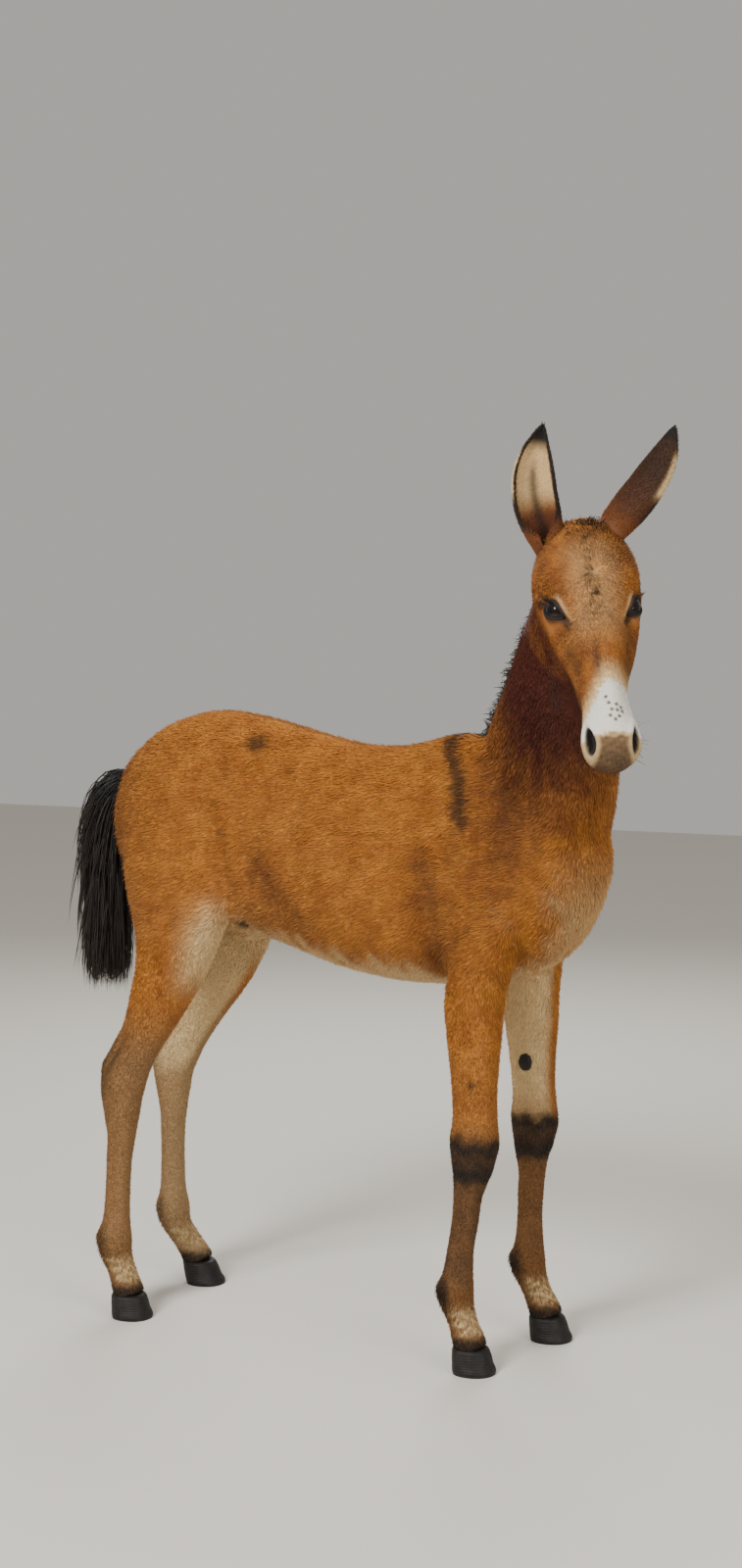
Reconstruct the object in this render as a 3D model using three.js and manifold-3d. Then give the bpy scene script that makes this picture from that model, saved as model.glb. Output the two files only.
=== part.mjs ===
// A mule foal of about two months, life size, standing with its head turned to its right.
// Millimetres. +X is towards the chest, +Y towards the animal's left, +Z up, and the floor is at z = 0.
// Soft forms are tubes of rounded sections set along a line. They are joined into one body, which is then
// parted into head, neck, torso, legs, ears and tail by thin cuts where a person would name the parts.
import * as THREE from "three";
import { mergeVertices } from "three/addons/utils/BufferGeometryUtils.js";
import { ParametricGeometry } from "three/addons/geometries/ParametricGeometry.js";
import Module from "manifold-3d";

const wasm = await Module();
wasm.setup();

// Driving dimensions
const EAR_LENGTH = 168;
const EAR_WALL = 5.5;
const EYE_RADIUS = 20;
const LID_THICKNESS = 3;
const HOOF_HEIGHT = 40;
const MANE_LENGTH = 34;
const TAIL_TIP_HEIGHT = 520;
const CUT = 0.3; // the clearance that touching parts keep
const MIDDLE = new THREE.Vector3(66, -70, 0); // from the middle of the feet to that of the outline

// The head's own frame: X from the poll to the lips, Y to the animal's left, Z out of the face.
const POLL = new THREE.Vector3(485, -130, 1331);
const HEAD_TURN = THREE.MathUtils.degToRad(-54);
const HEAD_DROP = THREE.MathUtils.degToRad(56);
const HEAD_TILT = THREE.MathUtils.degToRad(5);
const headFrame = new THREE.Matrix4()
  .makeRotationFromEuler(new THREE.Euler(HEAD_TILT, HEAD_DROP, HEAD_TURN, "ZYX"))
  .setPosition(POLL);

const vec = (x, y, z) => new THREE.Vector3(x, y, z);
const X = vec(1, 0, 0);
const Y = vec(0, 1, 0);
const Z = vec(0, 0, 1);
const power = (x, p) => Math.sign(x) * Math.abs(x) ** p;
const SIDES = [
  ["right", -1],
  ["left", 1],
];

// Seeded random numbers, so that the hair comes out the same every time.
let seed = 11;
function random(low, high) {
  seed = (seed * 48271) % 2147483647;
  return low + ((high - low) * seed) / 2147483647;
}

// A closed geometry as a solid, with its faces turned out.
function solid(geometry) {
  const bare = geometry.clone();
  for (const name of Object.keys(bare.attributes)) if (name !== "position") bare.deleteAttribute(name);
  const merged = mergeVertices(bare, 1e-3);
  const corners = merged.index.array;
  const kept = [];
  for (let i = 0; i < corners.length; i += 3) {
    const [a, b, c] = corners.slice(i, i + 3);
    if (a !== b && b !== c && c !== a) kept.push(a, b, c);
  }
  const make = (triangles) =>
    new wasm.Manifold(
      new wasm.Mesh({
        numProp: 3,
        vertProperties: merged.attributes.position.array,
        triVerts: new Uint32Array(triangles),
      }),
    );
  const made = make(kept);
  if (made.volume() > 0) return made;
  for (let i = 0; i < kept.length; i += 3) [kept[i + 1], kept[i + 2]] = [kept[i + 2], kept[i + 1]];
  return make(kept);
}

const join = (pieces) => wasm.Manifold.union(pieces);

// The largest of the separate bodies in a solid.
function largest(made) {
  return made.decompose().reduce((best, one) => (one.volume() > best.volume() ? one : best));
}

// A station is [x, y, z, top, bottom, half, taper, square, yaw]: its middle, how far the section reaches to
// its top and its bottom, its half width, how much narrower it is at the top, how square it is, and which way
// it faces. band gives one by its highest and lowest point, with its widest level at a share of the height.
function band(x, high, low, half, taper = 0, square = 2, waist = 0.5) {
  const middle = low + (high - low) * waist;
  return [x, 0, middle, high - middle, middle - low, half, taper, square, 0];
}

// A smooth line through stations. at(t) gives its place, its own axes and its sizes. A given left or along is
// kept all the way, and otherwise left follows each station's yaw and along follows the line.
function spine(stations, { left = null, ahead = null } = {}) {
  const times = [0];
  for (let i = 1; i < stations.length; i++) {
    const step = Math.hypot(...[0, 1, 2].map((k) => stations[i][k] - stations[i - 1][k]));
    times.push(times[i - 1] + step);
  }
  const line = new THREE.CubicInterpolant(times, stations.flat(), stations[0].length);
  const end = times.at(-1);
  const read = (t) => Array.from(line.evaluate(THREE.MathUtils.clamp(t, 0, end)));
  function at(t) {
    const sizes = read(t);
    const point = (at) => vec(...read(at).slice(0, 3));
    const along = ahead ?? point(t + 2).sub(point(t - 2)).normalize();
    const yaw = THREE.MathUtils.degToRad(sizes[8]);
    const side = left ? left.clone() : vec(-Math.sin(yaw), Math.cos(yaw), 0);
    side.addScaledVector(along, -side.dot(along)).normalize();
    return { centre: vec(...sizes.slice(0, 3)), along, side, up: along.clone().cross(side), sizes };
  }
  return { at, times, end };
}

// The point of a section at an angle, from its left over its top.
function rim(place, angle, share = 1) {
  const [, , , top, bottom, half, taper, square] = place.sizes;
  const across = power(Math.cos(angle), 2 / square);
  const upward = power(Math.sin(angle), 2 / square);
  return place.centre
    .clone()
    .addScaledVector(place.side, share * half * across * (1 - taper * upward))
    .addScaledVector(place.up, share * upward * (upward > 0 ? top : bottom));
}

// A closed tube along a spine: sides round it, steps between stations, and a dome of the given depth at each
// end, where a depth of 0 is a flat end.
function flesh(line, { sides = 20, steps = 2, domes = [0, 0], domeRings = 3 }) {
  const cap = (t, depth, way) => {
    if (depth === 0) return [{ t, share: 0, push: 0 }];
    return Array.from({ length: domeRings }, (_, k) => {
      const turn = ((k + 1) / domeRings) * (Math.PI / 2);
      return { t, share: k + 1 === domeRings ? 0 : Math.cos(turn), push: way * depth * Math.sin(turn) };
    });
  };
  const rows = cap(0, domes[0], -1).reverse();
  for (let i = 0; i + 1 < line.times.length; i++) {
    for (let k = 0; k < steps; k++) {
      rows.push({ t: THREE.MathUtils.lerp(line.times[i], line.times[i + 1], k / steps), share: 1, push: 0 });
    }
  }
  rows.push({ t: line.end, share: 1, push: 0 }, ...cap(line.end, domes[1], 1));
  const places = rows.map((row) => line.at(row.t));
  return new ParametricGeometry(
    (u, v, target) => {
      const i = Math.round(v * (rows.length - 1));
      const angle = (u % 1) * Math.PI * 2;
      target.copy(rim(places[i], angle, rows[i].share)).addScaledVector(places[i].along, rows[i].push);
    },
    sides,
    rows.length - 1,
  );
}

// A rounded lump of flesh: a squashed ball with its own half axes.
function lump(centre, half, turn = new THREE.Euler()) {
  return new THREE.SphereGeometry(1, 10, 7)
    .scale(...half)
    .applyMatrix4(new THREE.Matrix4().makeRotationFromEuler(turn).setPosition(centre));
}

// A turn that sets a piece's X along one direction and its Z as near as can be to another.
function aim(along, out) {
  const x = along.clone().normalize();
  const z = out.clone().addScaledVector(x, -out.dot(x)).normalize();
  const turn = new THREE.Matrix4().makeBasis(x, z.clone().cross(x), z);
  return new THREE.Euler().setFromRotationMatrix(turn);
}

// A flat lock of hair: it leaves its root along rise, bends over to lie, and tapers to a point.
function lock({ root, rise, lie, length, width, thick = 5, flat, sink = 8 }) {
  const start = root.clone().addScaledVector(rise, -sink);
  const bend = root.clone().addScaledVector(rise, length * 0.4);
  const tip = bend.clone().addScaledVector(lie, length * 0.62);
  const curve = new THREE.QuadraticBezierCurve3(start, bend, tip);
  const shape = [
    [0, 0.75],
    [0.3, 1],
    [0.65, 0.8],
    [0.94, 0.28],
  ];
  const stations = shape.map(([t, share]) => {
    const p = curve.getPoint(t);
    return [p.x, p.y, p.z, (thick / 2) * share, (thick / 2) * share, (width / 2) * share, 0, 2, 0];
  });
  const line = spine(stations, { left: flat });
  return solid(flesh(line, { sides: 4, steps: 1, domes: [0, length * 0.07], domeRings: 1 }));
}

// Trunk: upright sections from the buttocks to the breast, [x, high, low, half, taper, square, waist].
const trunkRows = [
  [-398, 905, 800, 34, 0.1, 2, 0.5],
  [-385, 938, 765, 64, 0.1, 2, 0.5],
  [-355, 972, 722, 94, 0.12, 2, 0.5],
  [-310, 1003, 688, 116, 0.16, 2.1, 0.5],
  [-262, 1020, 664, 126, 0.18, 2.1, 0.5],
  [-198, 1028, 650, 126, 0.2, 2.1, 0.5],
  [-130, 1021, 648, 122, 0.18, 2.1, 0.48],
  [-60, 1005, 630, 126, 0.16, 2, 0.45],
  [18, 986, 608, 134, 0.16, 2, 0.43],
  [95, 975, 594, 137, 0.18, 2, 0.43],
  [160, 980, 589, 133, 0.26, 2, 0.43],
  [228, 999, 591, 122, 0.42, 2.1, 0.43],
  [290, 994, 594, 112, 0.34, 2.1, 0.45],
  [345, 972, 604, 106, 0.2, 2.1, 0.46],
  [395, 944, 636, 97, 0.1, 2.1, 0.48],
  [432, 918, 676, 83, 0.05, 2, 0.5],
  [458, 886, 718, 62, 0, 2, 0.5],
  [473, 850, 762, 36, 0, 2, 0.5],
];
const trunkLine = spine(trunkRows.map((row) => band(...row)), { left: Y, ahead: X });
const trunk = flesh(trunkLine, { sides: 22, steps: 1, domes: [6, 6], domeRings: 2 });

// Flesh that stands out under the skin, the same on both sides: [x, y, z, half axes].
const lumps = [
  [-366, 44, 842, 30, 32, 66], // point of the buttock
  [-158, 20, 656, 60, 18, 17], // skin of the groin
].flatMap(([x, y, z, ...half]) => SIDES.map(([, side]) => lump(vec(x, side * y, z), half)));

// Neck: level sections from the breast up to the poll. Their top faces back to the crest, and they turn with
// the head as they rise: [x, y, z, to the crest, to the throat, half, taper, square, yaw].
const neckRows = [
  [385, 0, 790, 110, 74, 84, 0.2, 2, 0],
  [388, -2, 860, 122, 92, 86, 0.3, 2, 0],
  [390, -8, 930, 124, 104, 79, 0.36, 2, 0],
  [396, -22, 1000, 116, 99, 70, 0.4, 2, -4],
  [405, -40, 1061, 95, 84, 63, 0.4, 2, -8],
  [418, -57, 1110, 86, 68, 58, 0.38, 2, -13],
  [434, -78, 1160, 81, 48, 54, 0.34, 2, -22],
  [449, -97, 1205, 70, 40, 51, 0.28, 2, -33],
  [460, -112, 1252, 58, 36, 49, 0.2, 2, -43],
  [467, -122, 1296, 46, 34, 44, 0.1, 2, -50],
];
const neckLine = spine(neckRows, { ahead: Z });
const neck = flesh(neckLine, { sides: 20, steps: 1, domes: [10, 15], domeRings: 2 });

// Head, in its own frame: the skull with the upper lip, and the jaw with the lower lip and chin.
const skullRows = [
  [12, 2, -100, 52, 0, 2, 0.5],
  [38, 11, -113, 68, 0.05, 2.1, 0.52],
  [75, 15, -120, 79, 0.12, 2.2, 0.55],
  [118, 11, -118, 78, 0.18, 2.3, 0.55],
  [160, 3, -112, 68, 0.24, 2.3, 0.5],
  [205, -6, -106, 55, 0.24, 2.3, 0.5],
  [250, -13, -100, 41, 0.18, 2.3, 0.5],
  [298, -20, -96, 34, 0.12, 2.2, 0.5],
  [334, -25, -98, 39, 0.08, 2.2, 0.5],
  [360, -31, -100, 44, 0.04, 2.2, 0.5],
  [379, -42, -100, 38, 0, 2.1, 0.5],
  [391, -57, -95, 25, 0, 2, 0.5],
];
const cheekRows = [
  [64, -40, -138, 58, 0, 2.3, 0.5],
  [110, -34, -146, 65, 0, 2.3, 0.5],
  [160, -38, -136, 58, 0, 2.3, 0.5],
  [212, -46, -126, 47, 0, 2.3, 0.5],
  [258, -48, -117, 37, 0, 2.3, 0.5],
  [305, -56, -111, 31, 0, 2.2, 0.5],
];
const jawRows = [
  [44, -50, -136, 42, 0, 2.1, 0.6],
  [80, -50, -158, 52, -0.05, 2.1, 0.6],
  [125, -55, -163, 52, -0.05, 2.1, 0.6],
  [172, -60, -152, 45, -0.05, 2.1, 0.6],
  [222, -64, -137, 38, 0, 2.1, 0.6],
  [272, -70, -126, 33, 0, 2, 0.6],
  [314, -78, -120, 29, 0, 2, 0.6],
  [343, -85, -120, 28, 0, 2, 0.6],
  [362, -92, -115, 21, 0, 2, 0.6],
];
function headTube(rows, grow, options) {
  const grown = ([x, high, low, half, ...rest]) => band(x, high + grow, low - grow, half + grow, ...rest);
  const sections = rows.map(grown);
  return flesh(spine(sections, { left: Y, ahead: X }), { sides: 18, steps: 1, domeRings: 2, ...options });
}
const skull = (grow) => headTube(skullRows, grow, { domes: [8 + grow, 6 + grow] });
const cheeks = (grow) => headTube(cheekRows, grow, { domes: [20 + grow, 12 + grow], sides: 14 });
const jaw = (grow) => headTube(jawRows, grow, { domes: [16 + grow, 6 + grow], sides: 14 });

// Eyes: a ball in a socket, under lids that leave an almond opening.
const eyePlace = (side) => vec(147, side * 50, -39);
const eyeOut = (side) => vec(0.22, side, 0.7).normalize();
const eyeSlant = (side) => vec(1, side * -0.43, 0.47);
function lids(side) {
  return new THREE.SphereGeometry(EYE_RADIUS + LID_THICKNESS, 14, 8).translate(...eyePlace(side));
}
function almond(side) {
  const centre = eyePlace(side).addScaledVector(eyeOut(side), EYE_RADIUS + 1);
  return lump(centre, [17, 9.5, 9], aim(eyeSlant(side), eyeOut(side)));
}
function socket(side) {
  return new THREE.SphereGeometry(EYE_RADIUS + CUT, 16, 10).translate(...eyePlace(side));
}
const eyeball = (side) => new THREE.SphereGeometry(EYE_RADIUS, 16, 10).translate(...eyePlace(side));
function brow(side) {
  return lump(vec(138, side * 45, -27), [27, 12, 12], aim(eyeSlant(side), eyeOut(side)));
}

// Nostrils: a slanting teardrop with a raised rim, on the shoulder of the muzzle.
const nostrilPlace = (side) => vec(362, side * 31, -48);
const nostrilOut = (side) => vec(0.6, side * 0.66, 0.45).normalize();
const nostrilLong = (side) => vec(0.62, -side * 0.42, -0.66);
function nostrilRim(side) {
  return lump(nostrilPlace(side), [24, 14, 9], aim(nostrilLong(side), nostrilOut(side)));
}
function nostrilHole(side) {
  const centre = nostrilPlace(side).addScaledVector(nostrilOut(side), 8);
  return lump(centre, [19, 9, 16], aim(nostrilLong(side), nostrilOut(side)));
}

// Mouth: a groove between the lips, as deep as the lips are thick, so a core inside the muzzle stays whole.
const MOUTH_GAP = 2.6;
const LIP_DEPTH = 7;
const mouthSlab = new THREE.BoxGeometry(108, 120, MOUTH_GAP).rotateY(0.06).translate(364, 0, -93);
const mouthCoreRows = skullRows
  .slice(6)
  .map(([x, high, low, half]) => [x - LIP_DEPTH, high - 20, low - 22, half - LIP_DEPTH, 0, 2, 0.5]);
const mouthCore = headTube(mouthCoreRows, 0, { domes: [0, 4], sides: 12 });
const mouth = solid(mouthSlab).subtract(solid(mouthCore));

// Ears: a rolled leaf, hollow in front. Below EAR_BEND the foot curves in towards the skull's heart.
const EAR_HEART = vec(40, 0, -70);
const EAR_SINK = 26;
const EAR_FOOT = -0.14;
const EAR_BEND = 0.12;
// [share of the length, half width, to the front, to the back]
const earRows = [
  [EAR_FOOT, 25, 17, 20],
  [0.04, 30, 18, 22],
  [0.2, 34, 15, 24],
  [0.4, 34, 12, 21],
  [0.58, 31, 10, 17],
  [0.74, 24, 8, 13],
  [0.88, 14, 6, 9],
  [0.965, 7, 3.5, 5],
];
const ears = {
  right: {
    base: vec(24, -57, -21),
    direction: vec(0.11, -0.32, 0.94),
    facing: vec(0.35, -0.93, 0),
    bow: 15,
  },
  left: {
    base: vec(13, 50, -15),
    direction: vec(0.45, 0.24, 0.86),
    facing: vec(0.35, 0.94, 0),
    bow: 14,
  },
};
const EAR_ROOT = 24;
const earRoot = (ear, grow) => lump(ear.base, [EAR_ROOT + grow, EAR_ROOT + grow, EAR_ROOT + grow]);
function earLine({ base, direction, facing, bow }, rows) {
  const start = base.clone().applyMatrix4(headFrame);
  const along = direction.clone().normalize();
  const left = facing.clone().cross(along).normalize();
  const inward = EAR_HEART.clone().applyMatrix4(headFrame).sub(start).normalize();
  const stations = rows.map(([share, half, front, back]) => {
    const p = start.clone().addScaledVector(along, share * EAR_LENGTH);
    p.addScaledVector(left, bow * Math.sin(Math.PI * THREE.MathUtils.clamp(share, 0, 1)));
    p.addScaledVector(inward, EAR_SINK * Math.max((EAR_BEND - share) / (EAR_BEND - EAR_FOOT), 0) ** 2);
    return [p.x, p.y, p.z, front, back, half, 0, 2, 0];
  });
  return spine(stations, { left });
}
function earShape(ear, grow = 0) {
  const rows = earRows.map(([share, ...sizes]) => [share, ...sizes.map((size) => size + grow)]);
  return flesh(earLine(ear, rows), { sides: 14, steps: 1, domes: [0, 6 + grow], domeRings: 2 });
}
function earHollow(ear) {
  const rows = earRows
    .slice(1, -1)
    .map(([share, half, , back]) => [share + 0.04, half - EAR_WALL, 40, back - EAR_WALL]);
  return flesh(earLine(ear, rows), { sides: 14, steps: 1, domes: [8, 4], domeRings: 2 });
}

// Legs: sections from the muscle at the top down to the coronet,
// [z, x of the right leg, x of the left leg, y, to the front, to the back, half].
const foreRows = [
  [770, 330, 332, 54, 50, 54, 30],
  [705, 316, 322, 80, 60, 62, 43],
  [640, 306, 316, 92, 54, 56, 45],
  [580, 300, 311, 97, 49, 52, 42],
  [530, 299, 312, 97, 45, 46, 39],
  [480, 299, 313, 98, 40, 41, 36],
  [430, 300, 315, 99, 37, 38, 33],
  [385, 301, 317, 100, 37, 37, 34],
  [345, 299, 317, 100, 36, 38, 36],
  [310, 295, 314, 100, 29, 31, 30],
  [280, 290, 313, 101, 24, 24, 24],
  [240, 286, 311, 101, 22, 22, 21],
  [190, 279, 310, 102, 21, 23, 20],
  [155, 275, 309, 102, 24, 26, 23],
  [125, 272, 308, 102, 27, 29, 27],
  [102, 274, 312, 102, 25, 27, 26],
  [76, 282, 322, 102, 24, 24, 24],
  [48, 292, 335, 102, 26, 26, 27],
  [30, 299, 343, 102, 27, 27, 28],
];
const hindRows = [
  [880, -268, -272, 56, 76, 78, 38],
  [800, -254, -262, 84, 98, 102, 52],
  [725, -244, -252, 93, 100, 98, 54],
  [660, -243, -252, 99, 84, 83, 50],
  [600, -256, -268, 103, 66, 66, 44],
  [530, -286, -304, 104, 52, 50, 37],
  [478, -310, -332, 105, 42, 42, 31],
  [428, -336, -362, 105, 39, 43, 29],
  [392, -347, -379, 106, 38, 44, 31],
  [350, -350, -383, 107, 33, 34, 30],
  [310, -351, -383, 107, 26, 26, 25],
  [270, -354, -384, 108, 22, 24, 22],
  [215, -358, -385, 108, 22, 23, 21],
  [165, -361, -386, 109, 24, 25, 23],
  [130, -363, -385, 110, 28, 30, 28],
  [104, -361, -381, 110, 26, 28, 26],
  [76, -350, -362, 111, 24, 24, 24],
  [48, -339, -341, 112, 26, 26, 27],
  [30, -332, -330, 112, 27, 27, 28],
];
function legLine(rows, side) {
  const stations = rows.map(([z, right, left, y, front, back, half]) => {
    return [side < 0 ? right : left, side * y, z, front, back, half, 0, 2, 0];
  });
  return spine(stations, { left: Y });
}
const leg = (rows, side) => flesh(legLine(rows, side), { sides: 14, steps: 1, domes: [34, 0] });

// Hooves: a wall that flares from the coronet to a flat sole, [middle x of the coronet, of the sole, y].
const hooves = {
  hoof_fore_right: [295, 301, -102],
  hoof_fore_left: [339, 347, 102],
  hoof_hind_right: [-336, -329, -112],
  hoof_hind_left: [-335, -321, 112],
};
function hoof([coronet, sole, y]) {
  const stations = [
    [coronet, y, HOOF_HEIGHT, 30, 30, 29, 0.04, 2.2, 0],
    [coronet + (sole - coronet) * 0.25, y, HOOF_HEIGHT - 9, 32, 31, 30, 0.06, 2.2, 0],
    [sole, y, 3, 35, 33, 33, 0.1, 2.3, 0],
    [sole, y, 0, 33, 32, 32, 0.1, 2.3, 0],
  ];
  return flesh(spine(stations, { left: Y, ahead: Z.clone().negate() }), { sides: 20, steps: 1 });
}

// Chestnuts: horny pads on the inner side of the forearms, sunk in the skin.
const chestnutPlace = (side) => vec(side < 0 ? 300 : 314, side * 66, 462);
const chestnut = (side, grow = 0) => lump(chestnutPlace(side), [12 + grow, 4.5 + grow, 15 + grow]);

// Tail: a dock that hangs from the croup, under locks that fall past its end.
const dockRows = [
  [-380, 0, 912, 20, 20, 19, 0, 2, 0],
  [-412, 0, 902, 19, 19, 18, 0, 2, 0],
  [-432, 0, 868, 16, 16, 16, 0, 2, 0],
  [-443, 0, 815, 15, 15, 15, 0, 2, 0],
  [-445, 0, 750, 13, 13, 14, 0, 2, 0],
  [-445, 0, 690, 10, 10, 12, 0, 2, 0],
  [-448, 0, 650, 7, 7, 9, 0, 2, 0],
];
const dockLine = spine(dockRows, { left: Y });
const TAIL_LOCKS = 32;
function tailLocks() {
  return Array.from({ length: TAIL_LOCKS }, (_, i) => {
    const share = (i + 0.5) / TAIL_LOCKS;
    const place = dockLine.at(dockLine.end * (0.17 + 0.8 * share));
    const angle = i * 2.4 + random(-0.25, 0.25);
    const root = rim(place, angle, 0.8);
    const out = root.clone().sub(place.centre).normalize();
    const rise = place.along.clone().multiplyScalar(0.8).addScaledVector(out, random(0.38, 0.6)).normalize();
    const lie = vec(random(-0.1, 0.02), random(-0.05, 0.05), -1).addScaledVector(out, -0.02).normalize();
    const reach = root.z - TAIL_TIP_HEIGHT;
    const length = Math.min(random(120, 165), reach);
    const flat = place.along.clone().cross(out);
    return lock({ root, rise, lie, length, width: random(21, 27), thick: 7, flat, sink: 6 });
  });
}

// Mane: short locks along the crest from the withers to the ears, broad along it and leaning to the left.
const MANE_LOCKS = 28;
const crest = (t) => rim(neckLine.at(t), Math.PI / 2);
function maneLocks() {
  return Array.from({ length: MANE_LOCKS }, (_, i) => {
    const t = neckLine.end * THREE.MathUtils.lerp(0.4, 0.92, i / (MANE_LOCKS - 1));
    const place = neckLine.at(t);
    const flat = crest(t + 4).sub(crest(t - 4)).normalize();
    const away = place.up.clone().addScaledVector(flat, -place.up.dot(flat)).normalize();
    const root = crest(t).addScaledVector(place.side, random(2, 10)).addScaledVector(away, -4);
    const rise = away.addScaledVector(place.side, random(0.3, 0.6)).addScaledVector(flat, 0.3).normalize();
    const lie = rise.clone().addScaledVector(place.side, 0.8).addScaledVector(flat, random(-0.2, 0.6));
    const length = MANE_LENGTH * random(0.85, 1.1);
    return lock({ root, rise, lie: lie.normalize(), length, width: random(24, 30), thick: 7, flat });
  });
}

// Forelock: short locks that stand up between the ears, in the head's frame.
const FORELOCKS = 9;
function forelocks() {
  const forward = vec(0, 0, 1).transformDirection(headFrame);
  const across = vec(0, 1, 0).transformDirection(headFrame);
  return Array.from({ length: FORELOCKS }, (_, i) => {
    const root = vec(random(16, 36), ((i % 3) - 1) * 11 + random(-3, 3), 3).applyMatrix4(headFrame);
    const rise = Z.clone().addScaledVector(forward, random(0.1, 0.5)).normalize();
    const lie = rise.clone().addScaledVector(forward, 0.5).addScaledVector(across, random(-0.4, 0.4));
    const length = MANE_LENGTH * random(0.75, 1);
    const sizes = { length, width: random(14, 19), thick: 5, sink: 12 };
    return lock({ root, rise, lie: lie.normalize(), flat: across, ...sizes });
  });
}

// The head in one piece with its ears and forelock, and its openings cut in.
const each = (make) => SIDES.map(([, side]) => make(side));
const mass = (grow) => [skull, cheeks, jaw].map((tube) => tube(grow));
const earRoots = (grow) => [earRoot(ears.right, grow), earRoot(ears.left, grow)];
const openings = [...each(almond), ...each(socket), ...each(nostrilHole)];
const swellings = [...each(lids), ...each(brow), ...each(nostrilRim)];
const bareHead = join([...mass(0), ...earRoots(0), ...swellings].map(solid))
  .subtract(join(openings.map(solid)))
  .subtract(mouth)
  .transform(headFrame.elements);
const bothEars = Object.values(ears);
const earSolids = (grow) => bothEars.map((ear) => solid(earShape(ear, grow)));
let head = join([bareHead, ...earSolids(0), ...forelocks()])
  .subtract(join(bothEars.map((ear) => solid(earHollow(ear)))));

// The rest of the body in one piece, clear of the head.
const HEAD_GAP = 0.5;
const headMass = join([...mass(HEAD_GAP), ...earRoots(HEAD_GAP)].map(solid)).transform(headFrame.elements);
const headRoom = join([headMass, ...earSolids(HEAD_GAP)]);
const legs = SIDES.flatMap(([, side]) => [leg(foreRows, side), leg(hindRows, side)]);
const dock = flesh(dockLine, { sides: 12, steps: 1, domes: [0, 12] });
let body = join([...[trunk, ...lumps, ...legs, neck, dock].map(solid), ...tailLocks(), ...maneLocks()])
  .subtract(headRoom)
  .subtract(join(each((side) => solid(chestnut(side, CUT)))));

// The finished nodes.
const group = new THREE.Group();
function add(name, made, colour, roughness = 0.8) {
  const mesh = made.getMesh();
  const geometry = new THREE.BufferGeometry();
  geometry.setAttribute("position", new THREE.BufferAttribute(new Float32Array(mesh.vertProperties), 3));
  geometry.setIndex(new THREE.BufferAttribute(new Uint32Array(mesh.triVerts), 1));
  const material = new THREE.MeshStandardMaterial({ color: colour, roughness, metalness: 0 });
  const node = new THREE.Mesh(geometry, material);
  node.name = name;
  group.add(node);
}

// A block with its near face on a plane, reaching depth along its normal, and as wide and tall as given.
function block(point, normal, tall, { depth, width, height, shift = 0 }) {
  const centre = point.clone().addScaledVector(normal, depth / 2).addScaledVector(tall, shift);
  const box = new THREE.BoxGeometry(depth, width, height);
  return box.applyMatrix4(new THREE.Matrix4().makeRotationFromEuler(aim(normal, tall)).setPosition(centre));
}

// Parts a solid in two with a gap: the part inside a region becomes a node, and what lies outside the same
// region grown by the cut is given back.
function part(name, whole, region, grown, colour, roughness) {
  add(name, largest(whole.intersect(region)), colour, roughness);
  return largest(whole.subtract(grown));
}

const BAY = 0xa8652e;
const DARK = 0x1d1512;
const TAN = 0x9a7350;

// Ears part from the head on a plane across their root.
const EAR_PLANE = 0.05;
const EAR_SLACK = 1;
for (const [name, ear] of Object.entries(ears)) {
  const along = ear.direction.clone().normalize();
  const region = (grow) => {
    const foot = ear.base.clone().applyMatrix4(headFrame);
    foot.addScaledVector(along, EAR_PLANE * EAR_LENGTH - grow);
    const above = block(foot, along, ear.facing, { depth: 220, width: 160, height: 160 });
    return solid(earShape(ear, EAR_SLACK + grow)).intersect(solid(above));
  };
  head = part(`ear_${name}`, head, region(0), region(CUT), 0x4a3020);
}

add("head", head, BAY);

// The tail parts from the torso on an upright plane behind the croup.
const TAIL_PLANE = -407;
const tailSizes = { depth: 200, width: 150, height: 520 };
const tailBlock = (x) => solid(block(vec(x, 0, 700), X.clone().negate(), Z, tailSizes));
body = part("tail", body, tailBlock(TAIL_PLANE), tailBlock(TAIL_PLANE + CUT), DARK, 0.7);

// The neck parts from the torso on a slanting plane from the withers to the breast.
const neckNormal = vec(0.621, 0, 0.783).normalize();
const neckTall = vec(-0.783, 0, 0.621).normalize();
function neckBlock(back) {
  const point = vec(349, 0, 904).addScaledVector(neckNormal, -back);
  return solid(block(point, neckNormal, neckTall, { depth: 700, width: 500, height: 900 }));
}
body = part("neck", body, neckBlock(0), neckBlock(CUT), BAY);

// Each leg parts from the torso on a plane that slants up and out, and ends at the coronet.
const legCuts = {
  foreleg: { from: 234, to: 450, low: [24, 562], high: [200, 756] },
  hindleg: { from: -450, to: -120, low: [18, 600], high: [200, 762] },
};
for (const [kind, { from, to, low, high }] of Object.entries(legCuts)) {
  for (const [name, side] of SIDES) {
    const region = (grow, bottom) => {
      const outline = new THREE.Shape([
        new THREE.Vector2(low[0] - grow, bottom),
        new THREE.Vector2(low[0] - grow, low[1] + grow),
        new THREE.Vector2(high[0], high[1] + grow),
        new THREE.Vector2(high[0], bottom),
      ]);
      const prism = new THREE.ExtrudeGeometry(outline, { depth: to - from, bevelEnabled: false });
      const turn = new THREE.Matrix4().makeBasis(vec(0, side, 0), Z, X);
      return solid(prism.applyMatrix4(turn.setPosition(vec(from, 0, 0))));
    };
    body = part(`${kind}_${name}`, body, region(0, HOOF_HEIGHT + CUT), region(CUT, -10), TAN);
  }
}
add("torso", body, BAY);

for (const [name, side] of SIDES) {
  const eye = eyeball(side).applyMatrix4(headFrame);
  add(`eye_${name}`, solid(eye), 0x0c0a09, 0.1);
}
for (const [name, place] of Object.entries(hooves)) add(name, solid(hoof(place)), DARK, 0.5);
for (const [name, side] of SIDES) {
  add(`chestnut_${name}`, solid(chestnut(side)), 0x2b2622, 0.9);
}

group.position.copy(MIDDLE).negate();
export default group;
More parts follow.
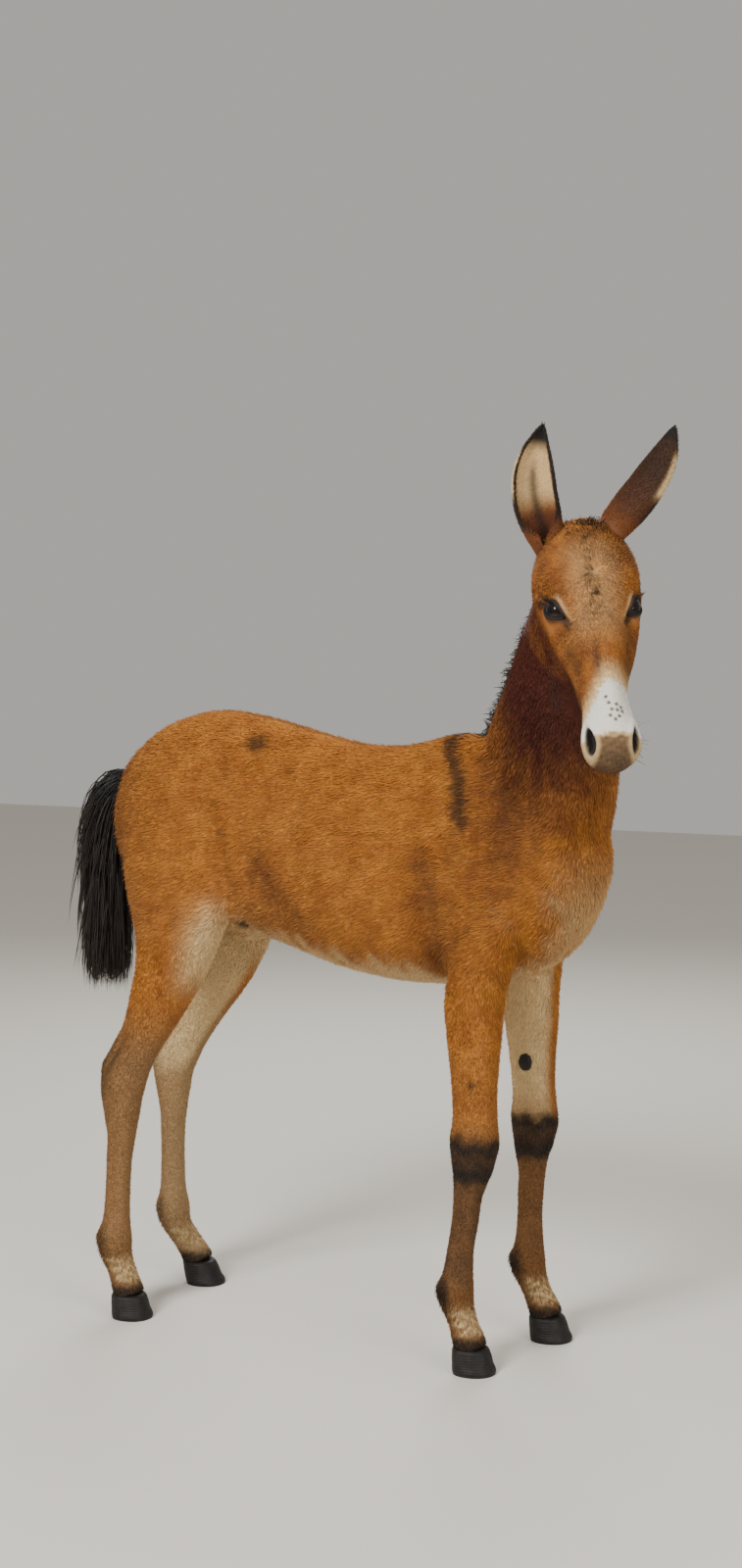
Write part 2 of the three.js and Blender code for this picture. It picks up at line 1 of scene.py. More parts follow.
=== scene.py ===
# %% [markdown]
# # A mule foal, life size
# The foal stands with its head turned towards us. Its imported solids give the size and the outline. This
# lesson builds what the eye sees on them: one skin, two ears, wet eyes, horn hooves, a tail and a short
# woolly coat. We start by loading the imported solids as a fixed frame.

# %% Load the frame
import math

import bpy
import numpy as np
from mathutils import Matrix, Vector


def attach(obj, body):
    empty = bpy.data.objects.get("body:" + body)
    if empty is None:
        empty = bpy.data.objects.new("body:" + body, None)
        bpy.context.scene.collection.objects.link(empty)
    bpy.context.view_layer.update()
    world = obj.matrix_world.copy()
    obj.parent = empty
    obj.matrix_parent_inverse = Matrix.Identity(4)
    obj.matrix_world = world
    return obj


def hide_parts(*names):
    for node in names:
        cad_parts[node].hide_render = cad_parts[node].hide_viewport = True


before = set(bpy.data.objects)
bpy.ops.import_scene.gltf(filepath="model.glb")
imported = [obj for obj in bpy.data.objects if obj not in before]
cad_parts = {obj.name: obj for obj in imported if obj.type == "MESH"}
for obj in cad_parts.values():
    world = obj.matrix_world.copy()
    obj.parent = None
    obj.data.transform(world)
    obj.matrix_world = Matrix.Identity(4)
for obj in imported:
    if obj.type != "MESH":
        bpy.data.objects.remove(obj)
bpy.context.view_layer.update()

# %% [markdown]
# A foal is measured here in millimetres from a point on the floor between its four feet. The frame has its
# origin under the middle of the outline, so one small function moves and scales. The head has its own axes:
# X from the poll to the lips, Y to the animal's left and Z out of the face.

# %% Units and the head's own axes
MM = 0.001
MIDDLE = np.array([66.0, -70.0, 0.0])
POLL = np.array([485.0, -130.0, 1331.0])
TURN, DROP, TILT = (math.radians(angle) for angle in (-54, 56, 5))
HEAD = np.array(Matrix.Rotation(TURN, 3, "Z") @ Matrix.Rotation(DROP, 3, "Y") @ Matrix.Rotation(TILT, 3, "X"))
AHEAD, LEFT, UP = np.eye(3)
SIDES = {"right": -1, "left": 1}
rng = np.random.default_rng(7)


def from_head(points):
    return np.asarray(points, float) @ HEAD.T + POLL


def to_head(points):
    return (np.asarray(points, float) - POLL) @ HEAD


def in_frame(points):
    return (np.asarray(points, float) - MIDDLE) * MM


def unit(vectors):
    return vectors / np.maximum(np.linalg.norm(vectors, axis=-1, keepdims=True), 1e-9)


def laid_flat(vectors, normals):
    """The directions of vectors once their part along the normals is taken away."""
    return unit(vectors - normals * (vectors * normals).sum(1, keepdims=True))


def smooth(low, high, x):
    t = np.clip((np.asarray(x, float) - low) / (high - low), 0, 1)
    return t * t * (3 - 2 * t)


def peak(x, middle, reach, steep=2):
    """1 at the middle, and next to nothing at twice the reach."""
    return np.exp(-(((x - middle) / reach) ** steep))


def mound(points, middle, reach, steep=1):
    """The same round a point in space, with a reach for each axis."""
    return np.exp(-((((points - middle) / reach) ** 2).sum(1) ** steep))


print("head's long axis in the frame:", HEAD[:, 0].round(2))

# %% [markdown]
# Living flesh has no flat sides, so every limb is a tube through measured sections. A section is a middle
# point, its reach to the top and to the bottom, its half width, how much it narrows to the top, how square
# it is and which way it faces. A cubic curve through the sections keeps the outline fair. Sculpting by hand
# could give the same form, but a table can be corrected by a millimetre and rebuilt.


# %% Tubes through sections
def spline(times, values, at):
    slopes = np.gradient(values, times, axis=0)
    i = np.clip(np.searchsorted(times, at, side="right") - 1, 0, len(times) - 2)
    span = (times[i + 1] - times[i])[:, None]
    u = (at - times[i])[:, None] / span
    ends = (2 * u**3 - 3 * u**2 + 1) * values[i] + (3 * u**2 - 2 * u**3) * values[i + 1]
    return ends + span * ((u**3 - 2 * u**2 + u) * slopes[i] + (u**3 - u**2) * slopes[i + 1])


def band(x, high, low, half, taper=0, square=2, waist=0.5):
    middle = low + (high - low) * waist
    return [x, 0, middle, high - middle, middle - low, half, taper, square, 0]


def power(x, p):
    return np.sign(x) * np.abs(x) ** p


def axes_along(rows, t, left=None, along=None):
    """The middle, the axes and the sizes of the sections at distances t along a table of stations."""
    rows = np.array(rows, float)
    times = np.concatenate([[0], np.cumsum(np.linalg.norm(np.diff(rows[:, :3], axis=0), axis=1))])
    t = np.clip(t * times[-1], 0, times[-1])
    sizes = spline(times, rows, t)
    if along is None:
        after, before = np.minimum(t + 2, times[-1]), np.maximum(t - 2, 0)
        ahead = unit((spline(times, rows, after) - spline(times, rows, before))[:, :3])
    else:
        ahead = np.tile(along, (len(t), 1))
    yaw = np.radians(sizes[:, 8])
    side = np.stack([-np.sin(yaw), np.cos(yaw), 0 * yaw], 1) if left is None else np.tile(left, (len(t), 1))
    side = laid_flat(side, ahead)
    return sizes[:, :3], ahead, side, np.cross(ahead, side), sizes


def ring(place, angles, share=1.0, push=0.0):
    middle, ahead, side, up, sizes = place
    top, bottom, half, taper, square = (sizes[:, k, None, None] for k in range(3, 8))
    across = power(np.cos(angles), 2 / square[..., 0])[..., None]
    upward = power(np.sin(angles), 2 / square[..., 0])[..., None]
    share, push = (np.reshape(value, (-1, 1, 1)) for value in (share, push))
    out = side[:, None] * half * across * (1 - taper * upward)
    out += up[:, None] * upward * np.where(upward > 0, top, bottom)
    return middle[:, None] + share * out + push * ahead[:, None]


def ring_grid(rings, around):
    """Corner numbers on a stack of rings, and each one's neighbour round its ring."""
    corner = np.arange(rings * around).reshape(rings, around)
    return corner, np.roll(corner, -1, axis=1)


def faces_of(*corners):
    """Faces from arrays of corner numbers, one array for each corner of a face."""
    return np.stack(corners, -1).reshape(-1, len(corners))


def tube(rows, inset=0.0, domes=(0, 0), sides=40, spacing=6.0, **axes):
    rows = np.array(rows, float)
    rows[:, 3:6] = np.maximum(rows[:, 3:6] - np.reshape(inset, (-1, 1)), 2)
    length = np.linalg.norm(np.diff(rows[:, :3], axis=0), axis=1).sum()
    t = np.linspace(0, 1, int(length / spacing) + 2)
    turns = np.linspace(0, np.pi / 2, 6)[1:]
    first, last = (len(turns) if depth else 0 for depth in domes)
    share = np.concatenate([np.cos(turns[::-1][:first]), np.ones(len(t)), np.cos(turns[:last])])
    push = np.concatenate([-domes[0] * np.sin(turns[::-1][:first]), 0 * t, domes[1] * np.sin(turns[:last])])
    t = np.concatenate([np.zeros(first), t, np.ones(last)])
    angles = np.arange(sides) * 2 * np.pi / sides
    points = ring(axes_along(rows, t, **axes), angles, np.maximum(share, 0.02), push)
    corner, after = ring_grid(len(t), sides)
    walls = faces_of(corner[:-1], after[:-1], after[1:], corner[1:])
    return points.reshape(-1, 3), walls.tolist() + [corner[0][::-1].tolist(), corner[-1].tolist()]


def ball(middle, half, turn=np.eye(3), around=24, rings=14):
    lat = np.linspace(0.04, np.pi - 0.04, rings)
    angles = np.arange(around) * 2 * np.pi / around
    flat = np.sin(lat)[:, None]
    shape = np.stack([flat * np.cos(angles), flat * np.sin(angles), np.cos(lat)[:, None] + 0 * angles], -1)
    corner, after = ring_grid(rings, around)
    walls = faces_of(corner[:-1], corner[1:], after[1:], after[:-1])
    points = (shape.reshape(-1, 3) * half) @ turn.T + middle
    return points, walls.tolist() + [corner[0].tolist(), corner[-1][::-1].tolist()]


# %% [markdown]
# The tables: the trunk from buttocks to breast, the neck from breast to poll, the skull with the upper lip,
# the cheeks, the jaw with the chin, and the legs from their top muscle to the coronet. A foal is mostly
# leg, with a short back, a shallow chest and knees and hocks that look too large.

# %% Measured sections
# Bands: x, top, bottom, half width, taper, squareness, and the share of the height where it is widest.
TRUNK = [band(*row) for row in [
    (-398, 905, 800, 34, 0.1), (-385, 938, 765, 64, 0.1), (-355, 972, 722, 94, 0.12),
    (-310, 1003, 688, 116, 0.16, 2.1), (-262, 1020, 664, 126, 0.18, 2.1), (-198, 1028, 650, 126, 0.2, 2.1),
    (-130, 1021, 648, 122, 0.18, 2.1, 0.48), (-60, 1005, 630, 126, 0.16, 2, 0.45),
    (18, 986, 608, 134, 0.16, 2, 0.43), (95, 975, 594, 137, 0.18, 2, 0.43),
    (160, 980, 589, 133, 0.26, 2, 0.43), (228, 999, 591, 122, 0.42, 2.1, 0.43),
    (290, 994, 594, 112, 0.34, 2.1, 0.45), (345, 972, 604, 106, 0.2, 2.1, 0.46),
    (395, 944, 636, 97, 0.1, 2.1, 0.48), (432, 918, 676, 83, 0.05), (458, 886, 718, 62),
    (473, 850, 762, 36),
]]
NECK = [  # x, y, z, reach to the top and to the bottom, half width, taper, squareness, turn in degrees
    (385, 0, 790, 110, 74, 84, 0.2, 2, 0), (388, -2, 860, 122, 92, 86, 0.3, 2, 0),
    (390, -8, 930, 124, 104, 79, 0.36, 2, 0), (396, -22, 1000, 116, 99, 70, 0.4, 2, -4),
    (405, -40, 1061, 95, 84, 63, 0.4, 2, -8), (418, -57, 1110, 86, 68, 58, 0.38, 2, -13),
    (434, -78, 1160, 81, 48, 54, 0.34, 2, -22), (449, -97, 1205, 70, 40, 51, 0.28, 2, -33),
    (460, -112, 1252, 58, 36, 49, 0.2, 2, -43), (467, -122, 1296, 46, 34, 44, 0.1, 2, -50),
]
SKULL = [band(*row) for row in [
    (12, 2, -100, 52), (38, 11, -113, 68, 0.05, 2.1, 0.52), (75, 15, -120, 79, 0.12, 2.2, 0.55),
    (118, 11, -118, 78, 0.18, 2.3, 0.55), (160, 3, -112, 68, 0.24, 2.3), (205, -6, -106, 55, 0.24, 2.3),
    (250, -13, -100, 41, 0.18, 2.3), (298, -20, -96, 34, 0.12, 2.2), (334, -25, -98, 39, 0.08, 2.2),
    (360, -31, -100, 44, 0.04, 2.2), (379, -42, -100, 38, 0, 2.1), (391, -57, -95, 25),
]]
CHEEKS = [band(*row, 0, 2.3) for row in [
    (64, -40, -138, 58), (110, -34, -146, 65), (160, -38, -136, 58), (212, -46, -126, 47),
    (258, -48, -117, 37), (305, -56, -111, 31),
]]
JAW = [band(*row, 0.6) for row in [
    (44, -50, -136, 42, 0, 2.1), (80, -50, -158, 52, -0.05, 2.1), (125, -55, -163, 52, -0.05, 2.1),
    (172, -60, -152, 45, -0.05, 2.1), (222, -64, -137, 38, 0, 2.1), (272, -70, -126, 33, 0, 2),
    (314, -78, -120, 29, 0, 2), (343, -85, -120, 28, 0, 2), (362, -92, -115, 21, 0, 2),
]]
# Legs: z, x on the right and on the left, y, reach to the front and to the back, half width.
FORE = [
    (770, 330, 332, 54, 50, 54, 30), (705, 316, 322, 80, 60, 62, 43), (640, 306, 316, 92, 54, 56, 45),
    (580, 300, 311, 97, 49, 52, 42), (530, 299, 312, 97, 45, 46, 39), (480, 299, 313, 98, 40, 41, 36),
    (430, 300, 315, 99, 37, 38, 33), (385, 301, 317, 100, 37, 37, 34), (345, 299, 317, 100, 36, 38, 36),
    (310, 295, 314, 100, 29, 31, 30), (280, 290, 313, 101, 24, 24, 24), (240, 286, 311, 101, 22, 22, 21),
    (190, 279, 310, 102, 21, 23, 20), (155, 275, 309, 102, 24, 26, 23), (125, 272, 308, 102, 27, 29, 27),
    (102, 274, 312, 102, 25, 27, 26), (76, 282, 322, 102, 24, 24, 24), (48, 292, 335, 102, 26, 26, 27),
    (36, 297, 341, 102, 27, 27, 28),
]
HIND = [
    (880, -268, -272, 56, 76, 78, 38), (800, -254, -262, 84, 98, 102, 52),
    (725, -244, -252, 93, 100, 98, 54), (660, -243, -252, 99, 84, 83, 50),
    (600, -256, -268, 103, 66, 66, 44), (530, -286, -304, 104, 52, 50, 37),
    (478, -310, -332, 105, 42, 42, 31), (428, -336, -362, 105, 39, 43, 29),
    (392, -347, -379, 106, 38, 44, 31), (350, -350, -383, 107, 33, 34, 30),
    (310, -351, -383, 107, 26, 26, 25), (270, -354, -384, 108, 22, 24, 22),
    (215, -358, -385, 108, 22, 23, 21), (165, -361, -386, 109, 24, 25, 23),
    (130, -363, -385, 110, 28, 30, 28), (104, -361, -381, 110, 26, 28, 26),
    (76, -350, -362, 111, 24, 24, 24), (48, -339, -341, 112, 26, 26, 27), (36, -334, -333, 112, 27, 27, 28),
]


def leg_rows(table, side):
    return [(left if side > 0 else right, side * y, z, front, back, half, 0, 2, 0)
            for z, right, left, y, front, back, half in table]


LEGS = {f"{kind}_{name}": leg_rows(table, side)
        for kind, table in (("fore", FORE), ("hind", HIND)) for name, side in SIDES.items()}


def along_leg(rows, z, columns):
    """Columns of a leg's table at the heights z."""
    line = np.array(rows)[::-1]
    return [np.interp(z, line[:, 2], line[:, k]) for k in columns]


print("sections:", sum(map(len, [TRUNK, NECK, SKULL, CHEEKS, JAW, *LEGS.values()])))

# %% [markdown]
# The solids reach to the tips of the coat, so the skin lies inside them by the coat's depth: most on the
# trunk, least on the face and the feet. The tubes overlap like clay rolls, and a voxel remesh melts them
# into one surface. A Boolean union would leave hard creases where a leg meets the belly, and flesh has
# none.

# %% One closed skin
COAT_TRUNK, COAT_NECK, COAT_SKULL, COAT_LIP = 6.0, 5.0, 2.5, 1.2
VOXEL = 4.0
LEG_DEPTHS = ([60, 400, 620], [1.5, 2.5, 5.0])  # heights over the floor, and how deep the coat is there
leg_insets = {key: np.interp([row[2] for row in rows], *LEG_DEPTHS) for key, rows in LEGS.items()}
head_inset = np.interp([row[0] for row in SKULL], [200, 330], [COAT_SKULL, COAT_LIP])
head_parts = [
    tube(SKULL, head_inset, (8, 6), left=LEFT, along=AHEAD),
    tube(CHEEKS, COAT_SKULL, (20, 12), left=LEFT, along=AHEAD),
    tube(JAW, COAT_SKULL, (16, 6), left=LEFT, along=AHEAD),
]
flesh = [
    tube(TRUNK, COAT_TRUNK, (6, 6), left=LEFT, along=AHEAD, sides=96),
    tube(NECK, COAT_NECK, (10, 15), along=UP, sides=72),
    *(tube(rows, leg_insets[key], (34, 0), left=LEFT) for key, rows in LEGS.items()),
    *(ball((-366, side * 44, 842), (26, 28, 60)) for side in SIDES.values()),
    *(ball((-158, side * 20, 658), (56, 15, 14)) for side in SIDES.values()),
    *((from_head(points), faces) for points, faces in head_parts),
]


def put(name, data):
    """A new object in the scene."""
    made = bpy.data.objects.new(name, data)
    bpy.context.scene.collection.objects.link(made)
    return made


def raw_mesh(name, pieces):
    """One smooth mesh from pieces in millimetres."""
    points, faces, start = [], [], 0
    for piece_points, piece_faces in pieces:
        points.append(in_frame(piece_points))
        faces += [[corner + start for corner in face] for face in piece_faces]
        start += len(piece_points)
    mesh = bpy.data.meshes.new(name)
    mesh.from_pydata(np.concatenate(points).tolist(), [], faces)
    mesh.shade_smooth()
    return put(name, mesh)


def read(items, key, width, kind=np.float32):
    """A row of values for each of a mesh's items."""
    found = np.empty(len(items) * width, kind)
    items.foreach_get(key, found)
    return found.reshape(-1, width)


def co_of(mesh):
    return read(mesh.vertices, "co", 3).astype(float)


def in_mm(mesh):
    """The corners of a mesh in the millimetres of the tables."""
    return co_of(mesh) / MM + MIDDLE


def normals_of(mesh):
    return read(mesh.vertex_normals, "vector", 3).astype(float)


def apply_all(made):
    made_by = made.evaluated_get(bpy.context.evaluated_depsgraph_get())
    mesh = bpy.data.meshes.new_from_object(made_by)
    made.modifiers.clear()
    made.data = mesh


skin = raw_mesh("skin", flesh)
melt = skin.modifiers.new("Melt", "REMESH")
melt.mode, melt.voxel_size, melt.use_smooth_shade = "VOXEL", VOXEL * MM, True
apply_all(skin)
places = in_mm(skin.data)
at_head = smooth(1180, 1240, places[:, 2]) * smooth(330, 360, places[:, 0])
on_trunk = smooth(560, 640, places[:, 2]) * (1 - at_head)
for label, share, rounds in (("all", np.ones(len(places)), 9), ("trunk", on_trunk, 45)):
    group = skin.vertex_groups.new(name=label)
    for level in np.unique(np.round(share, 1)):
        group.add(np.flatnonzero(np.round(share, 1) == level).tolist(), float(level), "REPLACE")
    relax = skin.modifiers.new("Relax " + label, "SMOOTH")
    relax.factor, relax.iterations, relax.vertex_group = 0.5, rounds, label
apply_all(skin)
skin.vertex_groups.clear()
print("skin:", len(skin.data.polygons), "faces")

# %% [markdown]
# The head carries the finest forms, so its part of the skin gets four faces where the body has one.

# %% Finer skin on the head
import bmesh

HEAD_START = -10


def refine(mesh, chosen):
    work = bmesh.new()
    work.from_mesh(mesh)
    work.faces.ensure_lookup_table()
    edges = {edge for index in np.flatnonzero(chosen) for edge in work.faces[index].edges}
    bmesh.ops.subdivide_edges(work, edges=list(edges), cuts=1, use_grid_fill=True)
    work.to_mesh(mesh)
    work.free()
    mesh.update()


def middles_of(mesh):
    return read(mesh.polygons, "center", 3).astype(float) / MM + MIDDLE


def on_head(points):
    """How far a point belongs to the head: 1 on it, 0 on the neck."""
    x, y, z = to_head(points).T
    return smooth(HEAD_START, 25, x) * smooth(104, 92, np.abs(y)) * smooth(-215, -195, z) * (x < 430)


refine(skin.data, on_head(middles_of(skin.data)) > 0.5)
print("skin with a finer head:", len(skin.data.polygons), "faces")

# %% [markdown]
# Bone and muscle stand out under the skin as soft swellings and hollows. Each is a Gaussian push along the
# normal: where it is, how far it reaches, and its height in millimetres, minus for a hollow.

# %% Muscle, bone and tendon
BODY_FORMS = [  # x, y, z, reach x, y, z, height: the same on both sides
    (396, 70, 775, 40, 40, 52, 8), (392, 40, 690, 38, 26, 44, 9), (400, 0, 700, 40, 12, 70, -7),
    (285, 105, 860, 20, 40, 90, 4), (245, 110, 840, 16, 40, 90, -4), (315, 110, 730, 36, 40, 46, 6),
    (250, 110, 700, 26, 40, 40, -5), (205, 100, 660, 22, 60, 22, 3), (-128, 96, 948, 34, 30, 24, 8),
    (-175, 100, 880, 34, 40, 44, -6), (-165, 110, 700, 26, 44, 34, 7), (-300, 100, 860, 60, 40, 60, 5),
    (-120, 110, 780, 40, 60, 60, -6), (-385, 60, 760, 30, 40, 60, 4), (-230, 0, 1032, 50, 12, 26, 3),
    (150, 0, 985, 60, 14, 24, 4), (60, 120, 800, 60, 50, 90, 4), (405, 0, 880, 50, 16, 120, 3),
]
LEG_FORMS = {  # ahead of the leg's line, to the outside of it, z, reach ahead, out and up, height
    "fore": [
        (6, 26, 600, 26, 26, 60, 5), (-34, 0, 560, 16, 24, 70, 4), (30, 12, 520, 14, 18, 70, 3),
        (34, 0, 362, 18, 22, 24, 4), (0, 30, 372, 22, 14, 20, 3), (-36, 0, 372, 12, 16, 22, 5),
        (30, 0, 318, 14, 20, 12, 2), (-2, 20, 240, 9, 8, 70, -3.5), (-22, 0, 230, 10, 14, 70, 2.5),
        (0, 26, 132, 14, 12, 16, 2.5), (-26, 0, 128, 12, 14, 16, 5), (-22, 0, 84, 10, 14, 16, -3),
        (26, 0, 60, 10, 20, 12, 1),
    ],
    "hind": [
        (40, 20, 560, 30, 30, 70, 3), (-10, 30, 600, 40, 20, 60, 5), (-30, 16, 480, 10, 12, 50, -7),
        (-42, 0, 470, 8, 12, 50, 3), (-44, 0, 425, 10, 13, 18, 6), (6, 28, 400, 20, 12, 20, 4),
        (36, 0, 400, 14, 16, 26, 2), (-2, 21, 260, 9, 8, 70, -3.5), (-24, 0, 260, 10, 14, 80, 2.5),
        (0, 26, 136, 14, 12, 16, 2.5), (-28, 0, 132, 12, 14, 16, 5), (-22, 0, 88, 10, 14, 16, -3),
    ],
}
HEAD_FORMS = [  # in the head's axes, the same on both sides
    (148, 64, -12, 34, 18, 13, 5), (120, 70, -34, 22, 20, 20, -3), (178, 58, -58, 46, 18, 9, 4.5),
    (230, 46, -62, 34, 16, 8, 4), (262, 36, -34, 40, 14, 15, -3.5), (205, 44, -24, 26, 16, 16, -1.5),
    (110, 66, -110, 44, 24, 34, 5), (190, 48, -104, 30, 20, 18, -3), (75, 46, 4, 26, 22, 26, -4),
    (300, 0, -18, 60, 15, 20, 2.5), (160, 0, 6, 60, 26, 20, 2.5), (356, 28, -72, 18, 20, 16, 2),
    (343, 0, -120, 18, 18, 16, 3), (322, 30, -56, 20, 14, 16, 1.5), (384, 0, -64, 12, 14, 18, 1),
    (90, 0, -160, 60, 16, 30, -9),
]
# Lines on the right side, reach, depth and how much painted shade they get: elbow, flank, shoulder, flank
# fold.
CREASES = [
    ([(212, -120, 810), (225, -124, 760), (236, -128, 694), (240, -105, 625)], 17, 9, 0.6),
    ([(-82, -125, 785), (-43, -125, 732), (0, -122, 692)], 20, 5, 0.4),
    ([(316, -64, 925), (336, -80, 870), (356, -97, 819)], 17, 5, 0.2),
    ([(-150, -112, 880), (-124, -123, 799), (-108, -116, 727)], 15, -6, 0),
]


def from_line(points, line):
    """How far points lie from a bent line."""
    line = np.array(line, float)
    best = np.full(len(points), 1e9)
    for a, b in zip(line[:-1], line[1:]):
        share = np.clip(((points - a) @ (b - a)) / ((b - a) @ (b - a)), 0, 1)[:, None]
        best = np.minimum(best, np.linalg.norm(points - a - share * (b - a), axis=1))
    return best


def crease_share(points, line, reach):
    """1 on a crease of either side, and 0 away from it."""
    gap = np.minimum(from_line(points, line), from_line(points * (1, -1, 1), line))
    return peak(gap, 0, reach)


def push_forms(points, normals, forms, where):
    moved = np.zeros(len(points))
    for x, y, z, *reach, height in forms:
        for side in (1, -1) if y else (1,):
            moved += height * mound(points, (x, side * y, z), reach)
    return points + normals * (moved * where)[:, None]


mesh = skin.data
points = in_mm(mesh)
normals = normals_of(mesh)
head_share = on_head(points)
points = push_forms(points, normals, BODY_FORMS, 1 - head_share)
for line, reach, depth, _ in CREASES:
    points = points - normals * (depth * crease_share(points, line, reach) * (1 - head_share))[:, None]
for key, rows in LEGS.items():
    kind, name = key.split("_")
    line_x, line_y = along_leg(rows, points[:, 2], (0, 1))
    ahead = points[:, 0] - line_x
    out = SIDES[name] * (points[:, 1] - line_y)
    near = (np.abs(out) < 62) & (points[:, 2] < 660) & (np.abs(ahead) < 90)
    local = np.stack([ahead, out, points[:, 2]], 1)
    lifted = sum(form[6] * mound(local, form[:3], form[3:6]) for form in LEG_FORMS[kind])
    points = points + normals * (lifted * near)[:, None]
local = push_forms(to_head(points), normals @ HEAD, HEAD_FORMS, head_share)
print("forms pushed:", len(BODY_FORMS) + len(HEAD_FORMS) + sum(map(len, LEG_FORMS.values())))

# %% [markdown]
# The nostril is a slanting comma with a soft raised rim, and the mouth is a groove between full lips. Both
# are pushed into the finer skin of the head, which keeps it one closed surface.

# %% Nostrils, mouth and eye sockets
NOSTRIL = np.array([363.0, 31.0, -51.0])
NOSTRIL_OUT = unit(np.array([0.6, 0.66, 0.45]))
NOSTRIL_LONG = np.array([0.62, -0.42, -0.66])
NOSTRIL_SIZE = (20.0, 9.5)
EYE = np.array([147.0, 50.0, -39.0])
EYE_RADIUS = 20.0
EYE_OUT = unit(np.array([0.2, 1.0, 0.58]))
LID_WRAP, SOFT_WRAP = 21.8, 2.5  # the skin wraps over the lids at this distance from the eye's middle
LID_SLANT = np.array([1.0, -0.43, 0.47])
LID_LENGTH, LID_TOP, LID_BOTTOM, LID_POINT = 18.4, 10.6, 7.4, 1.6
MOUTH_HEIGHT, MOUTH_SLOPE, MOUTH_START, MOUTH_MIDDLE = -93.0, -0.06, 310.0, 364.0
NOSTRIL_DEPTH, NOSTRIL_RIM, SOCKET_DEPTH, LIP_GROOVE, LIP_SWELL = 15, 3.2, 6, 5.5, 2.2


def on_side(vector, side):
    return vector * (1, side, 1)


def eye_axes(side):
    """Along the slit towards the nose, up over the eye, and out of it."""
    out = on_side(EYE_OUT, side)
    slant = on_side(LID_SLANT, side)
    along = unit(slant - out * (slant @ out))
    return along, np.cross(along, out) * side, out


def lid_opening(phi):
    """The angle from the eye's axis to the edge of the lids, for each angle round it."""
    height = np.where(np.sin(phi) > 0, LID_TOP, LID_BOTTOM)
    almond = np.abs(np.cos(phi) / LID_LENGTH) ** LID_POINT + np.abs(np.sin(phi) / height) ** LID_POINT
    return np.arcsin(np.clip(almond ** (-1 / LID_POINT) / EYE_RADIUS, 0, 0.97))


def nostril_reach(local, side):
    """How far a point lies from the nostril's middle, where 1 is its edge."""
    out = on_side(NOSTRIL_OUT, side)
    along = on_side(NOSTRIL_LONG, side)
    along = unit(along - out * (along @ out))
    across = np.cross(out, along)
    away = local - on_side(NOSTRIL, side)
    bend = 0.012 * (away @ along) ** 2
    reach = np.hypot((away @ along) / NOSTRIL_SIZE[0], (away @ across - side * bend) / NOSTRIL_SIZE[1])
    return reach, away @ out > -16, out


def from_eye(local, side):
    """From the eye's middle: the way, its length, its angle off the axis and that past the lids' edge."""
    along, up, out = eye_axes(side)
    away = local - on_side(EYE, side)
    gap = np.linalg.norm(away, axis=1)
    tilt = np.arccos(np.clip(away @ out / gap, -1, 1))
    return away, gap, tilt, tilt - lid_opening(np.arctan2(away @ up, away @ along))


def over_mouth(local):
    """How far above the line between the lips a point lies."""
    return local[:, 2] - MOUTH_HEIGHT - MOUTH_SLOPE * (local[:, 0] - MOUTH_MIDDLE)


for side in SIDES.values():
    reach, front, out = nostril_reach(local, side)
    hole = -NOSTRIL_DEPTH * smooth(1.15, 0.35, reach) + NOSTRIL_RIM * peak(reach, 1.5, 0.45)
    local = local + out * (hole * front)[:, None]
    away, gap, tilt, past = from_eye(local, side)
    wrapped = SOFT_WRAP * np.logaddexp(gap / SOFT_WRAP, LID_WRAP / SOFT_WRAP)
    wrapped = gap + (wrapped - gap) * smooth(math.radians(110), math.radians(70), tilt)
    wrapped += (EYE_RADIUS - SOCKET_DEPTH - wrapped) * smooth(math.radians(19), math.radians(13), past)
    near = (gap < 60) & (head_share > 0.5) & (tilt < math.radians(110))
    local = np.where(near[:, None], on_side(EYE, side) + away * (wrapped / gap)[:, None], local)
seam = over_mouth(local)
lips = smooth(MOUTH_START, MOUTH_START + 14, local[:, 0]) * head_share
inward = unit(np.stack([np.clip(local[:, 0] - MOUTH_MIDDLE, 0, 40), local[:, 1], 0 * seam], 1))
fold = -LIP_GROOVE * peak(seam, 0, 1.9) + LIP_SWELL * peak(np.abs(seam), 7, 4.5)
local = local + inward * (fold * lips)[:, None]
points = np.where(head_share[:, None] > 0, from_head(local), points)
mesh.vertices.foreach_set("co", in_frame(points).astype(np.float32).ravel())
mesh.update()
mesh.shade_smooth()
print("nostrils, mouth and sockets are in the skin")

# %% [markdown]
# A mule's ear is a long rolled leaf of gristle. We take the same tube that the solids have, keep the part
# of each section that lies behind the opening, and give it an inner wall. Solidify could do this too, but
# an own inner wall can thin out to the rim, as the real one does.

# %% Ears
EAR_LENGTH, EAR_WALL, EAR_RIM, EAR_INSET = 168.0, 4.0, 1.6, 1.5
EAR_ROWS = np.array([
    (-0.14, 25, 17, 20), (0.04, 30, 18, 22), (0.2, 34, 15, 24), (0.4, 34, 12, 21), (0.58, 31, 10, 17),
    (0.74, 24, 8, 13), (0.88, 14, 6, 9), (0.965, 7, 3.5, 5), (0.995, 3.2, 2.6, 2.8),
])
EARS = {  # base in the head's axes, ways that the tip and the opening point in the frame, and bow
    "right": ((24, -57, -21), (0.11, -0.32, 0.94), (0.35, -0.93, 0), 15),
    "left": ((13, 50, -15), (0.45, 0.24, 0.86), (0.35, 0.94, 0), 14),
}
EAR_HEART, EAR_SINK, EAR_BEND = (40, 0, -70), 26.0, 0.12  # the root bends in towards the middle of the skull
EAR_OPENING = ([-0.14, 0.02, 0.1, 0.2, 0.5, 0.75, 0.9, 0.965], [84, 72, 44, 24, 14, 16, 28, 50])


